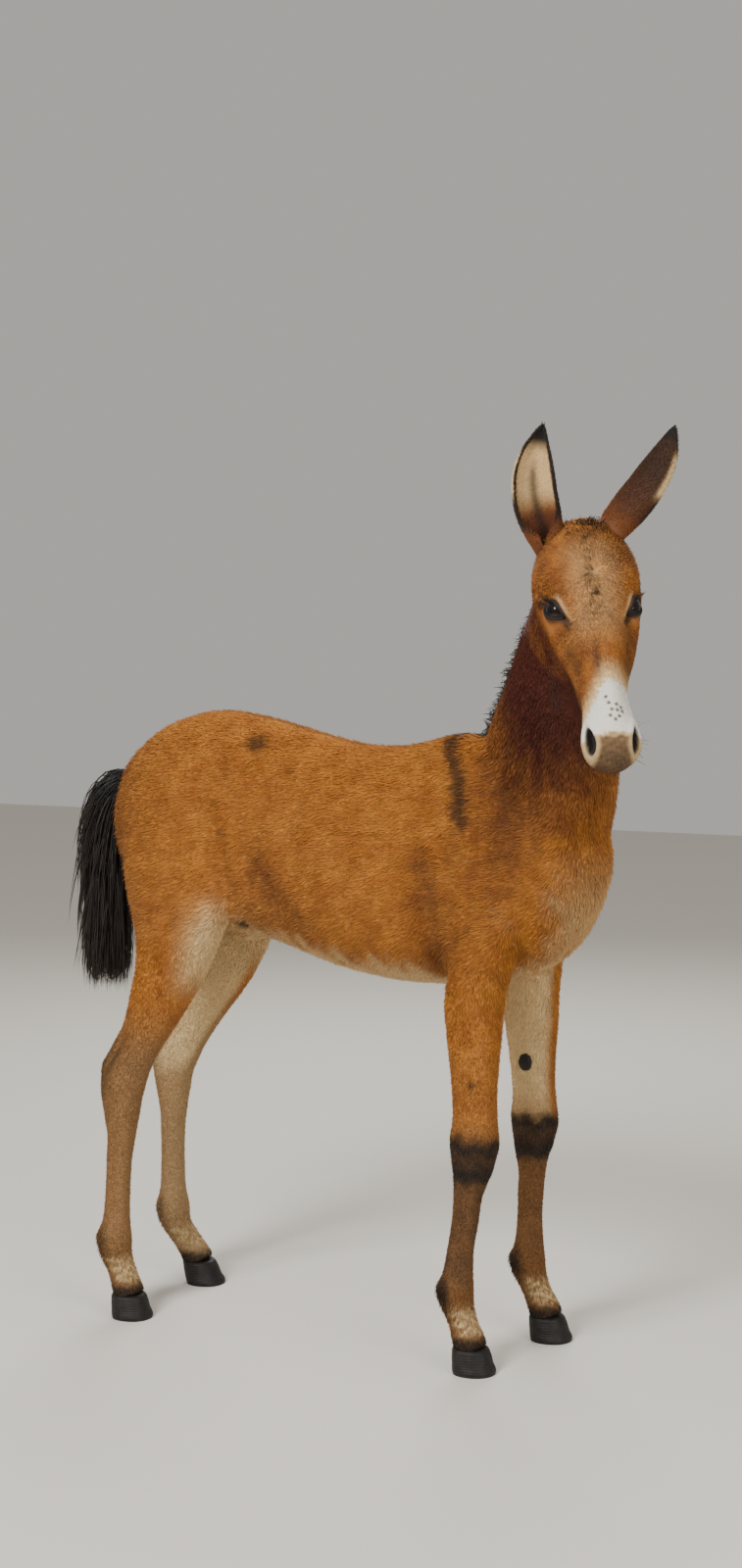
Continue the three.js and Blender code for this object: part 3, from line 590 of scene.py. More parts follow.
def ear_stations(name):
    base, along, facing, bow = EARS[name]
    base, along = from_head(base), unit(np.array(along))
    left = unit(np.cross(facing, along))
    share, half, front, back = (EAR_ROWS - (0, EAR_INSET, EAR_INSET, EAR_INSET)).T
    bowed = bow * np.sin(np.pi * np.clip(share, 0, 1))
    sunk = EAR_SINK * np.clip((EAR_BEND - share) / (EAR_BEND - share[0]), 0, 1) ** 2
    to_heart = unit(from_head(EAR_HEART) - base)
    middle = base + np.outer(share * EAR_LENGTH, along) + np.outer(bowed, left) + np.outer(sunk, to_heart)
    nought = 0 * share
    return np.column_stack([middle, front, back, half, nought, nought + 2, nought]), base, left, along


def ear_sheet(name, lengthwise=72, across=40):
    """Outer and inner grids of an ear, with each point's share of the length and of the way round."""
    rows, base, left, along = ear_stations(name)
    place = axes_along(rows, np.linspace(0, 1, lengthwise), left=left)
    share = ((place[0] - base) @ along) / EAR_LENGTH
    curl = np.radians(np.interp(share, *EAR_OPENING))[:, None]
    way = np.linspace(0, 1, across)
    angles = np.pi - curl + way * (np.pi + 2 * curl)
    stations = [tuple(part[k:k + 1] for part in place) for k in range(lengthwise)]
    outer = np.concatenate([ring(station, angle) for station, angle in zip(stations, angles)])
    inward = unit(place[0][:, None] - outer)
    wall = EAR_RIM + (EAR_WALL - EAR_RIM) * np.sin(np.pi * way) ** 0.6
    reach = np.linalg.norm(place[0][:, None] - outer, axis=2)
    inner = outer + inward * np.minimum(wall, 0.6 * reach)[..., None]
    return outer, inner, np.repeat(share, across), np.tile(way, lengthwise)


def sheet_faces(lengthwise, across):
    out = np.arange(lengthwise * across).reshape(lengthwise, across)
    within = out + out.size
    return np.concatenate([
        faces_of(out[:-1, :-1], out[:-1, 1:], out[1:, 1:], out[1:, :-1]),
        faces_of(within[:-1, :-1], within[1:, :-1], within[1:, 1:], within[:-1, 1:]),
        faces_of(out[:-1, 0], out[1:, 0], within[1:, 0], within[:-1, 0]),
        faces_of(out[:-1, -1], within[:-1, -1], within[1:, -1], out[1:, -1]),
        faces_of(out[0, :-1], within[0, :-1], within[0, 1:], out[0, 1:]),
        faces_of(out[-1, :-1], out[-1, 1:], within[-1, 1:], within[-1, :-1]),
    ])


ears, ear_notes = {}, {}
for name in SIDES:
    outer, inner, share, way = ear_sheet(name)
    both = np.concatenate([outer.reshape(-1, 3), inner.reshape(-1, 3)])
    ears[name] = raw_mesh(f"ear_cup_{name}", [(both, sheet_faces(*outer.shape[:2]).tolist())])
    ear_notes[name] = np.tile(share, 2), np.tile(way, 2), np.repeat([0.0, 1.0], len(share))
print("ears:", sum(len(ear.data.polygons) for ear in ears.values()), "faces")

# %% [markdown]
# The eye is a wet ball that sits deep in its socket. The lids are a shell a little larger than the ball,
# with an almond opening that slants towards the nose. They are built in rings from the edge of the opening
# outward, with a thick black rim and one fold, and their skirt runs in under the skin.

# %% Eyes and lids
LID_RINGS = [  # degrees past the opening, and distance from the eye's middle
    (0, 20.15), (0, 21.2), (3, 22.2), (8, 22.9), (13, 22.8), (17, 21.9), (22, 22.2), (30, 21.8), (44, 20.8),
    (44, 20.15),
]
LID_AROUND = 56


def lid_rings(side):
    along, up, out = eye_axes(side)
    phi = np.arange(LID_AROUND) * 2 * np.pi / LID_AROUND
    opening = lid_opening(phi)
    outward = along * np.cos(phi)[:, None] + up * np.sin(phi)[:, None]
    rings = []
    for extra, radius in LID_RINGS:
        tilt = np.minimum(opening + math.radians(extra), math.radians(105))[:, None]
        rings.append(on_side(EYE, side) + radius * (out * np.cos(tilt) + outward * np.sin(tilt)))
    return np.array(rings), phi


def ring_faces(rings, around, flip):
    corner, after = ring_grid(rings, around)
    quads = faces_of(corner, after, np.roll(after, -1, axis=0), np.roll(corner, -1, axis=0))
    return quads[:, ::-1] if flip else quads


lids, eyeballs = {}, {}
for name, side in SIDES.items():
    rings, _ = lid_rings(side)
    faces = ring_faces(*rings.shape[:2], side < 0)
    lids[name] = raw_mesh(f"lids_{name}", [(from_head(rings.reshape(-1, 3)), faces.tolist())])
    ball_points, ball_faces = ball(on_side(EYE, side), (EYE_RADIUS,) * 3, around=48, rings=32)
    eyeballs[name] = raw_mesh(f"eyeball_{name}", [(from_head(ball_points), ball_faces)])
print("lids and eyeballs:", len(lids) + len(eyeballs), "pieces")

# %% [markdown]
# Hooves are horn that grows down from the coronet in rings. A foal's are small, narrow and dark. The
# chestnuts are bare horny pads on the inner side of the forearms, with a cracked, lumpy face.

# %% Hooves and chestnuts
HOOVES = {  # x of the coronet and of the sole, and y
    "hoof_fore_right": (295, 301, -102), "hoof_fore_left": (339, 347, 102),
    "hoof_hind_right": (-336, -329, -112), "hoof_hind_left": (-335, -321, 112),
}
HOOF_SHAPE = [  # share of the way to the sole, height, reach to the front and to the back, half width
    (0, 40, 26, 26, 25.5), (0.04, 38.5, 27.5, 27.4, 27), (0.25, 31, 30.3, 29.6, 29),
    (0.6, 16, 32.6, 31.3, 31), (1, 3, 34.8, 32.8, 32.8), (1, 0, 34, 32, 32),
]


def hoof_rows(coronet, sole, y):
    return [(coronet + (sole - coronet) * t, y, z, front, back, half, 0.08, 2.25, 0)
            for t, z, front, back, half in HOOF_SHAPE]


hoof_pieces = {}
for node_name, sizes in HOOVES.items():
    shape = tube(hoof_rows(*sizes), left=LEFT, along=-UP, sides=72, spacing=1.5)
    hoof_pieces[node_name] = raw_mesh(node_name + "_horn", [shape])


def ripple(points, size, seed):
    """Soft noise from -1 to 1 with bumps about size millimetres across."""
    waves = np.random.default_rng(seed)
    total = 0
    for _ in range(7):
        way = unit(waves.normal(size=3)) * (2 * np.pi / size) * waves.uniform(0.6, 1.6)
        total = total + np.sin(points @ way + waves.uniform(0, 6.3))
    return total / 3.6


chestnuts = {}
for name, side in SIDES.items():
    middle = np.array([300 if side < 0 else 314, side * 66, 462])
    pad, pad_faces = ball(middle, (11.4, 4.3, 14.4), around=48, rings=32)
    pad = middle + (pad - middle) * (1 + 0.06 * ripple(pad, 6, 3))[:, None]
    chestnuts[name] = raw_mesh(f"chestnut_pad_{name}", [(pad, pad_faces)])
print("horn pieces:", len(hoof_pieces) + len(chestnuts))

# %% [markdown]
# Long hair is made as closed, tapering strands. Each leaves its root along one direction and bends over to
# lie in another, which a quadratic curve gives with three points. Hair curves would be lighter, but they
# don't leave Blender with the model, and a joined mesh of strands does.


# %% Strands of long hair
def strands(roots, rises, lies, lengths, widths, steps=6, sides=3, flat=0.6, fall=0.62):
    count = len(roots)
    lengths, widths = np.broadcast_to(lengths, count)[:, None], np.broadcast_to(widths, count)
    bend = roots + rises * lengths * 0.4
    tips = bend + lies * lengths * fall
    t = np.linspace(0, 1, steps + 1)[None, :, None]
    middle = (1 - t) ** 2 * roots[:, None] + 2 * t * (1 - t) * bend[:, None] + t**2 * tips[:, None]
    ahead = unit(2 * (1 - t) * (bend - roots)[:, None] + 2 * t * (tips - bend)[:, None] + 1e-9)
    side = unit(np.cross(ahead, rng.normal(size=(count, 1, 3))))
    up = np.cross(ahead, side)
    profile = np.interp(t[0, :-1, 0], [0, 0.25, 0.7, 1], [0.75, 1, 0.75, 0.15])
    angles = np.arange(sides) * 2 * np.pi / sides
    radius = (widths[:, None] / 2 * profile)[..., None, None]
    rings = middle[:, :-1, None] + radius * (side[:, :-1, None] * np.cos(angles)[:, None]
                                             + flat * up[:, :-1, None] * np.sin(angles)[:, None])
    points = np.concatenate([rings.reshape(count, -1, 3), middle[:, -1:]], 1)
    corner, after = ring_grid(steps, sides)
    lower = faces_of(corner[:-1], after[:-1], after[1:])
    upper = faces_of(corner[:-1], after[1:], corner[1:])
    tip = np.stack([corner[-1], after[-1], np.full(sides, steps * sides)], -1)
    cap = corner[0, ::-1][None]
    one = np.concatenate([cap, lower, upper, tip])
    faces = (one[None] + np.arange(count)[:, None, None] * (steps * sides + 1)).reshape(-1, 3)
    share = np.append(np.repeat(t[0, :-1, 0], sides), 1)
    return points.reshape(-1, 3), faces, np.tile(share, count)


def fast_mesh(name, points, triangles):
    """A mesh of triangles from arrays, in millimetres."""
    mesh = bpy.data.meshes.new(name)
    mesh.vertices.add(len(points))
    mesh.vertices.foreach_set("co", in_frame(points).astype(np.float32).ravel())
    mesh.loops.add(triangles.size)
    mesh.loops.foreach_set("vertex_index", triangles.astype(np.int32).ravel())
    mesh.polygons.add(len(triangles))
    mesh.polygons.foreach_set("loop_start", np.arange(0, triangles.size, 3, dtype=np.int32))
    mesh.update(calc_edges=True)
    mesh.shade_smooth()
    return put(name, mesh)


def hair_piece(name, hairs):
    """A piece of long hair, and how far along its hair each corner is."""
    points, faces, share = hairs
    return fast_mesh(name, points, faces), share


DOCK = [
    (-380, 0, 912, 15, 15, 15, 0, 2, 0), (-412, 0, 902, 14, 14, 13, 0, 2, 0),
    (-432, 0, 868, 12, 12, 12, 0, 2, 0), (-443, 0, 815, 11, 11, 11, 0, 2, 0),
    (-445, 0, 750, 9, 9, 10, 0, 2, 0), (-445, 0, 690, 7, 7, 8, 0, 2, 0), (-448, 0, 650, 5, 5, 6, 0, 2, 0),
]
TAIL_HAIRS, TAIL_TIP = 3200, 524


def tail_strands():
    count = TAIL_HAIRS
    t = rng.uniform(0.1, 0.98, count) ** 1.25
    middle, ahead, left, up, _ = axes_along(DOCK, t, left=LEFT)
    angle = rng.uniform(0, 2 * np.pi, count)
    out = unit(left * np.cos(angle)[:, None] + up * np.sin(angle)[:, None])
    roots = middle + out * 9
    spread_out = rng.uniform(0.25, 0.62, count)[:, None]
    rises = unit(ahead * 0.8 + out * spread_out)
    hang = np.stack([rng.normal(-0.06, 0.07, count), rng.normal(0, 0.06, count), -np.ones(count)], 1)
    lies = unit(hang - out * spread_out * rng.uniform(0.1, 0.5, (count, 1)))
    reach = roots[:, 2] - TAIL_TIP
    lengths = np.minimum(rng.uniform(110, 215, count), reach * rng.uniform(0.8, 1.0, count))
    return strands(roots, rises, lies, lengths, rng.uniform(2.0, 3.8, count))


tail, tail_share = hair_piece("tail_hair", tail_strands())
dock = raw_mesh("tail_dock", [tube(DOCK, 0, (0, 8), left=LEFT)])
print("tail:", TAIL_HAIRS, "strands")

# %% [markdown]
# A foal's mane is short and woolly and falls to one side, here the far one. The forelock is a thin tuft
# between the ears, and a small tuft ends the mane at the withers.

# %% Mane and forelock
MANE_HAIRS, FORELOCK_HAIRS, WITHERS_HAIRS = 2200, 200, 160
MANE_LENGTH = 30


def mane_strands():
    count, column = MANE_HAIRS, (MANE_HAIRS, 1)
    t = rng.uniform(0.3, 0.95, count)
    place = axes_along(NECK, t, along=UP)
    crest = ring(place, np.array([np.pi / 2]))[:, 0]
    further = ring(axes_along(NECK, np.minimum(t + 0.01, 1), along=UP), np.array([np.pi / 2]))[:, 0]
    along = unit(further - crest)
    away = laid_flat(place[3], along)
    side = place[2]
    roots = crest - away * (COAT_NECK + 4) + side * rng.normal(6, 5, column)
    rises = unit(away + side * rng.normal(0.3, 0.4, column) + along * rng.normal(0.1, 0.25, column))
    lies = unit(rises * 0.4 + side * rng.uniform(0.1, 1.2, column) + along * rng.normal(-0.3, 0.35, column))
    lengths = MANE_LENGTH * rng.uniform(0.7, 1.15, count)
    return strands(roots, rises, lies, lengths, rng.uniform(1.6, 2.8, count), steps=4)


def forelock_strands():
    count, column = FORELOCK_HAIRS, (FORELOCK_HAIRS, 1)
    nosewards, across, forward = HEAD.T
    spots = [rng.uniform(14, 44, count), rng.normal(0, 13, count), np.full(count, -2.0)]
    roots = from_head(np.stack(spots, 1))
    rises = unit(UP * 0.6 + forward * rng.uniform(0.3, 1.0, column) + across * rng.normal(0, 0.3, column))
    lies = rises * 0.3 + forward * 0.5 + nosewards * rng.uniform(0.3, 1.0, column)
    lies = unit(lies + across * rng.normal(0, 0.4, column))
    lengths = MANE_LENGTH * rng.uniform(0.35, 0.75, count)
    return strands(roots, rises, lies, lengths, rng.uniform(1.1, 1.9, count), steps=4)


def withers_strands():
    count = WITHERS_HAIRS
    roots = np.stack([rng.uniform(238, 282, count), rng.normal(4, 7, count), np.full(count, 984.0)], 1)
    rises = unit(np.stack([rng.normal(-0.5, 0.2, count), rng.normal(0.1, 0.3, count), np.ones(count)], 1))
    lies = unit(np.stack([rng.normal(-1.2, 0.3, count), rng.normal(0.1, 0.3, count), np.full(count, 0.1)], 1))
    return strands(roots, rises, lies, rng.uniform(18, 30, count), rng.uniform(1.6, 2.6, count), steps=4)


def gather(first, second):
    """Two lots of strands as one."""
    faces = np.concatenate([first[1], second[1] + len(first[0])])
    return np.concatenate([first[0], second[0]]), faces, np.concatenate([first[2], second[2]])


mane, mane_share = hair_piece("mane_hair", gather(mane_strands(), withers_strands()))
forelock, lock_share = hair_piece("forelock_hair", forelock_strands())
print("mane and forelock:", MANE_HAIRS + FORELOCK_HAIRS + WITHERS_HAIRS, "strands")

# %% [markdown]
# Now the markings. They are worked out from each point's place, so the skin and every tuft of the coat that
# grows on it agree: bay body, redder neck, cream belly and inner legs, tan shanks, dark bars at the knees,
# a dark cross on the shoulder, a white muzzle with freckles. The neck's deep red is partly painted shade,
# and painted shade darkens the creases at the elbow, flank and shoulder and a spot in the groin. Four
# numbers say how dark, pale, red and tan a point is.

# %% Markings
CROSS = [(232, 20, 992), (231, -24, 986), (237, -45, 958), (257, -62, 932), (268, -82, 884), (272, -92, 862)]
SPOTS = [  # middle, radius and depth of small dark spots
    ((-105, -63, 977), 20, 0.7), ((504, -168, 1290), 5, 0.9), ((534, -200, 1214), 5, 0.9),
    ((307, -132, 460), 7, 0.8), ((320, -127, 465), 4, 0.7), ((-33, -80, 936), 7, 0.4),
    ((0, -107, 877), 6, 0.35), ((-138, -121, 835), 9, 0.35), ((298, -138, 520), 4, 0.4),
    # The last spot, in the groin, is painted shadow.
    ((519, -190, 1252), 4, 0.5), ((-128, -74, 673), 12, 0.9),
]
FRECKLES = [
    (306, -6), (316, -3), (318, 8), (326, 0), (327, 8), (328, 15), (335, -3), (336, 10), (322, 14), (341, 4),
]
KNEE, FETLOCK, HOCK, PASTERN = 336, 126, 430, 84  # heights over the floor


def body_markings(points, normals, rough, fine):
    """How dark, pale, red and tan the body is with its painted shade, and how much of the red is the neck's
    red and painted shade.
    """
    x, y, z = points.T
    body = 1 - on_head(points)
    fore = x > 0
    over_knee = z - KNEE - 6 * rough - 4 * fine
    bars = np.maximum(peak(over_knee, 27, 11), peak(over_knee, -18, 20))
    knee = peak(over_knee, 0, 43, 8) * (0.74 + 0.24 * bars) * fore * body
    cannon = (np.where(y < 0, 0.5, 0.22) + 0.14 * rough + 0.06 * fine) * fore
    cannon *= smooth(330, 280, z) * smooth(110, 170, z)
    fetlock = peak(z, FETLOCK, 30) * smooth(-0.3, 0.6, -normals[:, 0]) * np.where(fore, 0.95, 0.55)
    hock = peak(z, HOCK, 55) * smooth(0.1, 0.75, -normals[:, 0]) * ~fore * 0.7
    coronet = smooth(66, 50, z + 3 * fine) * 0.93
    on_right = np.stack([x, -np.abs(y), z], 1)
    cross_gap = np.minimum(from_line(points, CROSS), from_line(on_right, CROSS))
    cross = smooth(20, 5, cross_gap + 5 * fine + 4 * rough) * 0.8
    back_line = smooth(9, 3, np.abs(y)) * smooth(0.75, 0.95, normals[:, 2]) * (x < 240) * (z > 900) * 0.5
    # Painted shade along the creases: it adds to the dark number and to the red one.
    shaded = np.max([depth * crease_share(points, line, 1.3 * reach) for line, reach, _, depth in CREASES], 0)
    painted_fold_shade = 0.4 * shaded * (1 + 0.4 * fine)
    dark = np.maximum.reduce([knee, cannon, fetlock, hock, coronet, cross, back_line, painted_fold_shade]) * body
    for middle, radius, depth in SPOTS:
        gap = np.linalg.norm(points - middle, axis=1) + 0.25 * radius * fine
        dark = np.maximum(dark, depth * smooth(radius * 1.3, radius * 0.6, gap))
    belly = smooth(-0.5, -0.95, normals[:, 2] + 0.12 * rough + 0.06 * fine) * 0.8
    belly *= smooth(740, 660, z) * smooth(560, 600, z)
    inner_leg = smooth(0.15, 0.8, -normals[:, 1] * np.sign(y)) * body * 0.85
    inner_leg *= smooth(330, 430, z) * smooth(790, 690, z)
    groin = 0.81 * mound(points, (-175, 0, 690), (110, 70, 60))
    front_thigh = peak(x, -175, 50) * peak(z, 640, 75, 4) * smooth(0.0, 0.6, normals[:, 0]) * 0.85
    breast = 0.5 * smooth(850, 700, z) * smooth(0.3, 0.85, normals[:, 0] + 0.1 * rough) * (x > 330)
    breast *= smooth(590, 660, z) * np.maximum(smooth(690, 750, z), smooth(80, 55, np.abs(y)))
    shank = np.where(y > 0, 0.34, 0.1) * (0.7 + 0.3 * smooth(-0.5, 0.5, normals[:, 0]))
    shank *= smooth(560, 440, z) * ~fore
    pastern = peak(z, PASTERN, 22, 4) * smooth(-0.5, 0.3, normals[:, 0]) * np.clip(0.5 + 0.8 * fine, 0, 1)
    pale = np.maximum.reduce([belly, inner_leg, groin, front_thigh, breast, shank, pastern]) * body
    shin = np.where(fore, smooth(420, 340, z), smooth(560, 400, z))
    tan = (shin + 0.2 * smooth(560, 440, z)) * body
    # The neck's deep red is partly its own colour and partly painted shade on its near side; the creases add
    # painted shade to the red.
    neck_red_and_shade = 1.2 * mound(points, (416, -74, 1120), (150, 170, 240), 1.5)
    chest_red = 0.35 * mound(points, (330, -90, 790), (80, 90, 130))
    red_and_shade = neck_red_and_shade + 0.9 * shaded + chest_red + 0.25 * smooth(-300, -400, x) + 0.12 * rough
    return dark, np.clip(pale, 0, 0.86), red_and_shade, tan, neck_red_and_shade


def nostril_share(local, far, near):
    """1 within a nostril and 0 beyond it, both given as shares of its size."""
    both = [nostril_reach(local, side) for side in SIDES.values()]
    return np.max([smooth(far, near, reach) * front for reach, front, _ in both], 0)


def eye_markings(local):
    """The black rims of the lids, and the paler patches over the eyes."""
    lid, halo = np.zeros((2, len(local)))
    for side in SIDES.values():
        along, up, _ = eye_axes(side)
        away, gap, _, past = from_eye(local, side)
        past, above, close = np.degrees(past), away @ up, gap < 42
        lid = np.maximum(lid, smooth(42, 14, past + 12 * smooth(-4, 8, above)) * 0.88 * close)
        patch = peak(past, 25, 6.5) * smooth(1, 8, above) * smooth(-16, 6, away @ along)
        halo = np.maximum(halo, patch * 0.4 * close)
    return lid, halo


def face_markings(local, rough, fine, neck_red_and_shade):
    """How dark, pale, red and tan the head is."""
    lx, ly, lz = local.T
    muzzle = smooth(236, 290, lx + 6 * fine - 1.5 * np.clip(-ly - 4, 0, 40)) * smooth(-84, -60, lz)
    chin = np.maximum(smooth(356, 368, lx + 2 * fine), smooth(-64, -88, lz) * smooth(300, 340, lx))
    nostril, rim = nostril_share(local, 1.12, 0.85), nostril_share(local, 2.2, 1.5)
    lid, halo = eye_markings(local)
    lip_line = peak(over_mouth(local), 0, 3.5) * smooth(MOUTH_START - 4, MOUTH_START + 16, lx) * 0.8
    freckle = np.max([smooth(3.6, 1.8, np.hypot(lx - x, ly - y)) for x, y in FRECKLES], 0) * 0.85 * (lz > -60)
    tear_line = peak(np.abs(ly) + 0.16 * (lx - 180), 47, 8) * peak(lx, 225, 48) * (0.5 + 0.12 * rough)
    stripe = peak(ly, -11, 6) * peak(lx, 240, 28) * (0.62 + 0.2 * fine)
    middle_line = peak(ly, -5, 10 + 4 * rough) * smooth(20, 50, lx) * smooth(225, 150, lx) * (lz > -60)
    ruffled = np.clip(0.4 * middle_line * (1 + 1.4 * fine), 0, 1)
    grey_lip = chin * (0.56 + 0.16 * smooth(366, 392, lx) + 0.12 * fine) * (1 - 0.6 * rim)
    dark = np.maximum.reduce([nostril, lid, grey_lip, lip_line, freckle, tear_line, stripe, ruffled])
    forehead = 0.24 * peak(ly, 0, 38, 4) * smooth(40, 90, lx) * smooth(235, 170, lx) * (lz > -45)
    pale = np.maximum.reduce([muzzle * (1 - 0.8 * chin), halo, rim * 0.75 * (lx > 330), forehead])
    at_neck = np.maximum(smooth(170, 60, lx), smooth(-140, -180, lz))
    at_neck *= np.maximum(smooth(-30, -100, lz), smooth(45, 0, lx))
    red_and_shade = np.maximum(0.3 + 0.5 * smooth(-30, -90, lz) + 0.15 * rough, neck_red_and_shade * at_neck)
    return dark, pale, np.clip(red_and_shade, 0, 1) * (1 - chin), chin * 0.9


def markings(points, normals):
    """Dark, pale, red and tan for every point, each from 0 to 1; the dark and the red also hold painted
    shade.
    """
    rough, fine = ripple(points, 34, 5), ripple(points, 9, 6)
    *body, neck_red_and_shade = body_markings(points, normals, rough, fine)
    face_dark, *face = face_markings(to_head(points), rough, fine, neck_red_and_shade)
    on_face = [np.maximum(face_dark, body[0]), *face]
    return np.clip(np.where(on_head(points) > 0.5, on_face, body), 0, 1).T


def ear_markings(share, way, inside):
    """An ear is pale within, with a dark rim, tip and midline, and dark brown behind."""
    edge = smooth(0.22, 0.1, np.minimum(way, 1 - way)) * smooth(0.02, 0.16, share)
    fringe = smooth(0.74, 0.86, way) * smooth(0.3, 0.42, share) * smooth(0.8, 0.68, share)
    tip = smooth(0.72, 0.88, share)
    streak = np.exp(-(((way - 0.52) / 0.07) ** 2)) * smooth(0.75, 0.5, share) * 0.75
    back = 0.5 + 0.3 * smooth(0.1, 0.6, share)
    within = np.maximum.reduce([edge, tip, streak])
    behind = np.maximum.reduce([edge * 0.9, tip, back * smooth(0, 0.2, share)]) * (1 - fringe)
    dark = np.where(inside > 0.5, within, behind)
    pale = np.where(inside > 0.5, smooth(0.15, 0.4, share) * 0.7, 0.8 * fringe)
    red_and_shade = np.where(inside > 0.5, smooth(0.45, 0.1, share) * 0.9, 0.8)
    return np.clip(np.stack([dark, pale, red_and_shade, 0 * share + 0.1], 1), 0, 1)


def write(mesh, name, kind, values):
    layer = mesh.attributes.new(name, kind, "POINT")
    key = "color" if kind == "FLOAT_COLOR" else "value"
    layer.data.foreach_set(key, np.asarray(values, np.float32).ravel())


SKIN_SHADE = 0.35


def mark(made, values, shade=SKIN_SHADE):
    write(made.data, "marks", "FLOAT_COLOR", values)
    write(made.data, "shade", "FLOAT", np.full(len(values), shade) if np.isscalar(shade) else shade)


skin_points = in_mm(skin.data)
skin_normals = normals_of(skin.data)
skin_marks = markings(skin_points, skin_normals)
mark(skin, skin_marks)
ear_marks = {name: ear_markings(*ear_notes[name]) for name in SIDES}
for name, ear in ears.items():
    mark(ear, ear_marks[name])
lid_marks = np.tile([1.0, 0, 0, 0], (len(LID_RINGS), 1))
lid_marks[4:, 0] = [0.95, 0.85, 0.7, 0.6, 0.6, 1.0]
for name, lid in lids.items():
    mark(lid, np.repeat(lid_marks, LID_AROUND, axis=0))
print("marked:", len(skin_marks), "points of skin")

# %% [markdown]
# Every tuft needs to know which way its hair lies. A foal's coat runs back and down over the trunk, down
# the neck and the legs, and on the face it streams out of a whorl on the forehead and on down the nose.

# %% The lie of the coat
WHORL = np.array([112.0, 0.0])


def up_the_neck(x, z):
    """How far a point lies up the neck from the line between the withers and the breast."""
    return 0.621 * (x - 349) + 0.783 * (z - 904)


def drift(points, size, seed):
    """Soft noise in all three directions."""
    return np.stack([ripple(points, size, seed + k) for k in range(3)], 1)


def lie_of(points, normals):
    x, y, z = points.T
    flow = np.tile([-1.0, 0, -0.45], (len(points), 1))
    flow[:, 1] = 0.25 * np.sign(y) * smooth(0.2, 0.9, normals[:, 2])
    ways = [  # the breast, the neck and the legs
        ((-0.1, 0, -1), smooth(0.3, 0.8, normals[:, 0]) * smooth(300, 380, x)),
        ((-0.25, 0.1, -1), smooth(-30, 60, up_the_neck(x, z))),
        ((-0.15, 0, -1), smooth(690, 600, z)),
    ]
    for way, share in ways:
        flow = flow * (1 - share[:, None]) + np.array(way) * share[:, None]
    local = to_head(points)
    away = local[:, :2] - WHORL
    stream = np.stack([np.clip(away[:, 0] / 40, -1, 1), np.clip(away[:, 1] / 60, -0.6, 0.6), 0 * x], 1)
    stream[:, 0] += smooth(20, 80, np.abs(local[:, 1])) * 0.5
    face = on_head(points)[:, None]
    flow = flow * (1 - face) + (stream @ HEAD.T) * face
    return laid_flat(unit(flow) + drift(points, 60, 11) * (0.16 + 0.1 * face), normals)


print("whorl", WHORL.tolist(), "mm from the poll along and across the face")


# %% [markdown]
# For baking, every tuft sits on a flat unwrap of the skin. Each part of the body is nearly a tube, so its
# own length and the angle round it make the map, each part in a rectangle of its own.

# %% An unwrap by body part
TILES = {  # part: left, bottom, width, height of its rectangle
    "trunk": (0.01, 0.01, 0.48, 0.47), "neck": (0.51, 0.01, 0.23, 0.47), "head": (0.01, 0.51, 0.27, 0.47),
    "fore_right": (0.30, 0.51, 0.16, 0.47), "fore_left": (0.48, 0.51, 0.16, 0.47),
    "hind_right": (0.66, 0.51, 0.16, 0.47), "hind_left": (0.83, 0.51, 0.16, 0.47),
    "ear_right": (0.76, 0.01, 0.23, 0.23), "ear_left": (0.76, 0.26, 0.23, 0.22),
}
PARTS = list(TILES)
TRUNK_PART, NECK_PART, HEAD_PART, FIRST_LEG = range(4)
FIRST_EAR = PARTS.index("ear_right")
TILE_ROWS = np.array(list(TILES.values()))


def part_of(points):
    """The number of the part that each point lies on."""
    x, y, z = points.T
    part = np.where(up_the_neck(x, z) > 0, NECK_PART, TRUNK_PART)
    for number, rows in enumerate(LEGS.values(), FIRST_LEG):
        middle_x, middle_y, reach, half = along_leg(rows, z, (0, 1, 3, 5))
        near = np.hypot((x - middle_x) / (reach + 14), (y - middle_y) / (half + 14)) < 1
        part = np.where(near & (z < 640), number, part)
    return np.where(on_head(points) > 0.5, HEAD_PART, part)


def unwrap(points, part):
    """Length and angle of points on their part, each from 0 to 1."""
    x, y, z = points.T
    lx, ly, lz = to_head(points).T
    lengths = [(x + 420) / 920, (z - 770) / 560, (lx + 12) / 425, z / 780]
    neck = np.array(NECK)
    neck_x, neck_y = (np.interp(z, neck[:, 2], neck[:, k]) for k in (0, 1))
    angles = [np.arctan2(z - 800, y), np.arctan2(y - neck_y, x - neck_x), np.arctan2(lz + 60, ly)]
    for rows in LEGS.values():
        leg_x, leg_y = along_leg(rows, z, (0, 1))
        angles.append(np.arctan2(y - leg_y, x - leg_x))
    turn = np.choose(part, angles) / (2 * np.pi) + 0.5
    return np.clip(np.choose(np.minimum(part, FIRST_LEG), lengths), 0, 1), turn


def on_tile(length, turn, part):
    left, bottom, width, height = TILE_ROWS[part].T
    return np.stack([left + np.clip(turn, -0.02, 1.02) * width, bottom + length * height], -1)


def loops_of(mesh):
    return read(mesh.loops, "vertex_index", 1, np.int32)[:, 0]


def write_map(mesh, uv):
    layer = mesh.uv_layers.new(name="OFBake")
    layer.uv.foreach_set("vector", np.asarray(uv, np.float32).ravel())


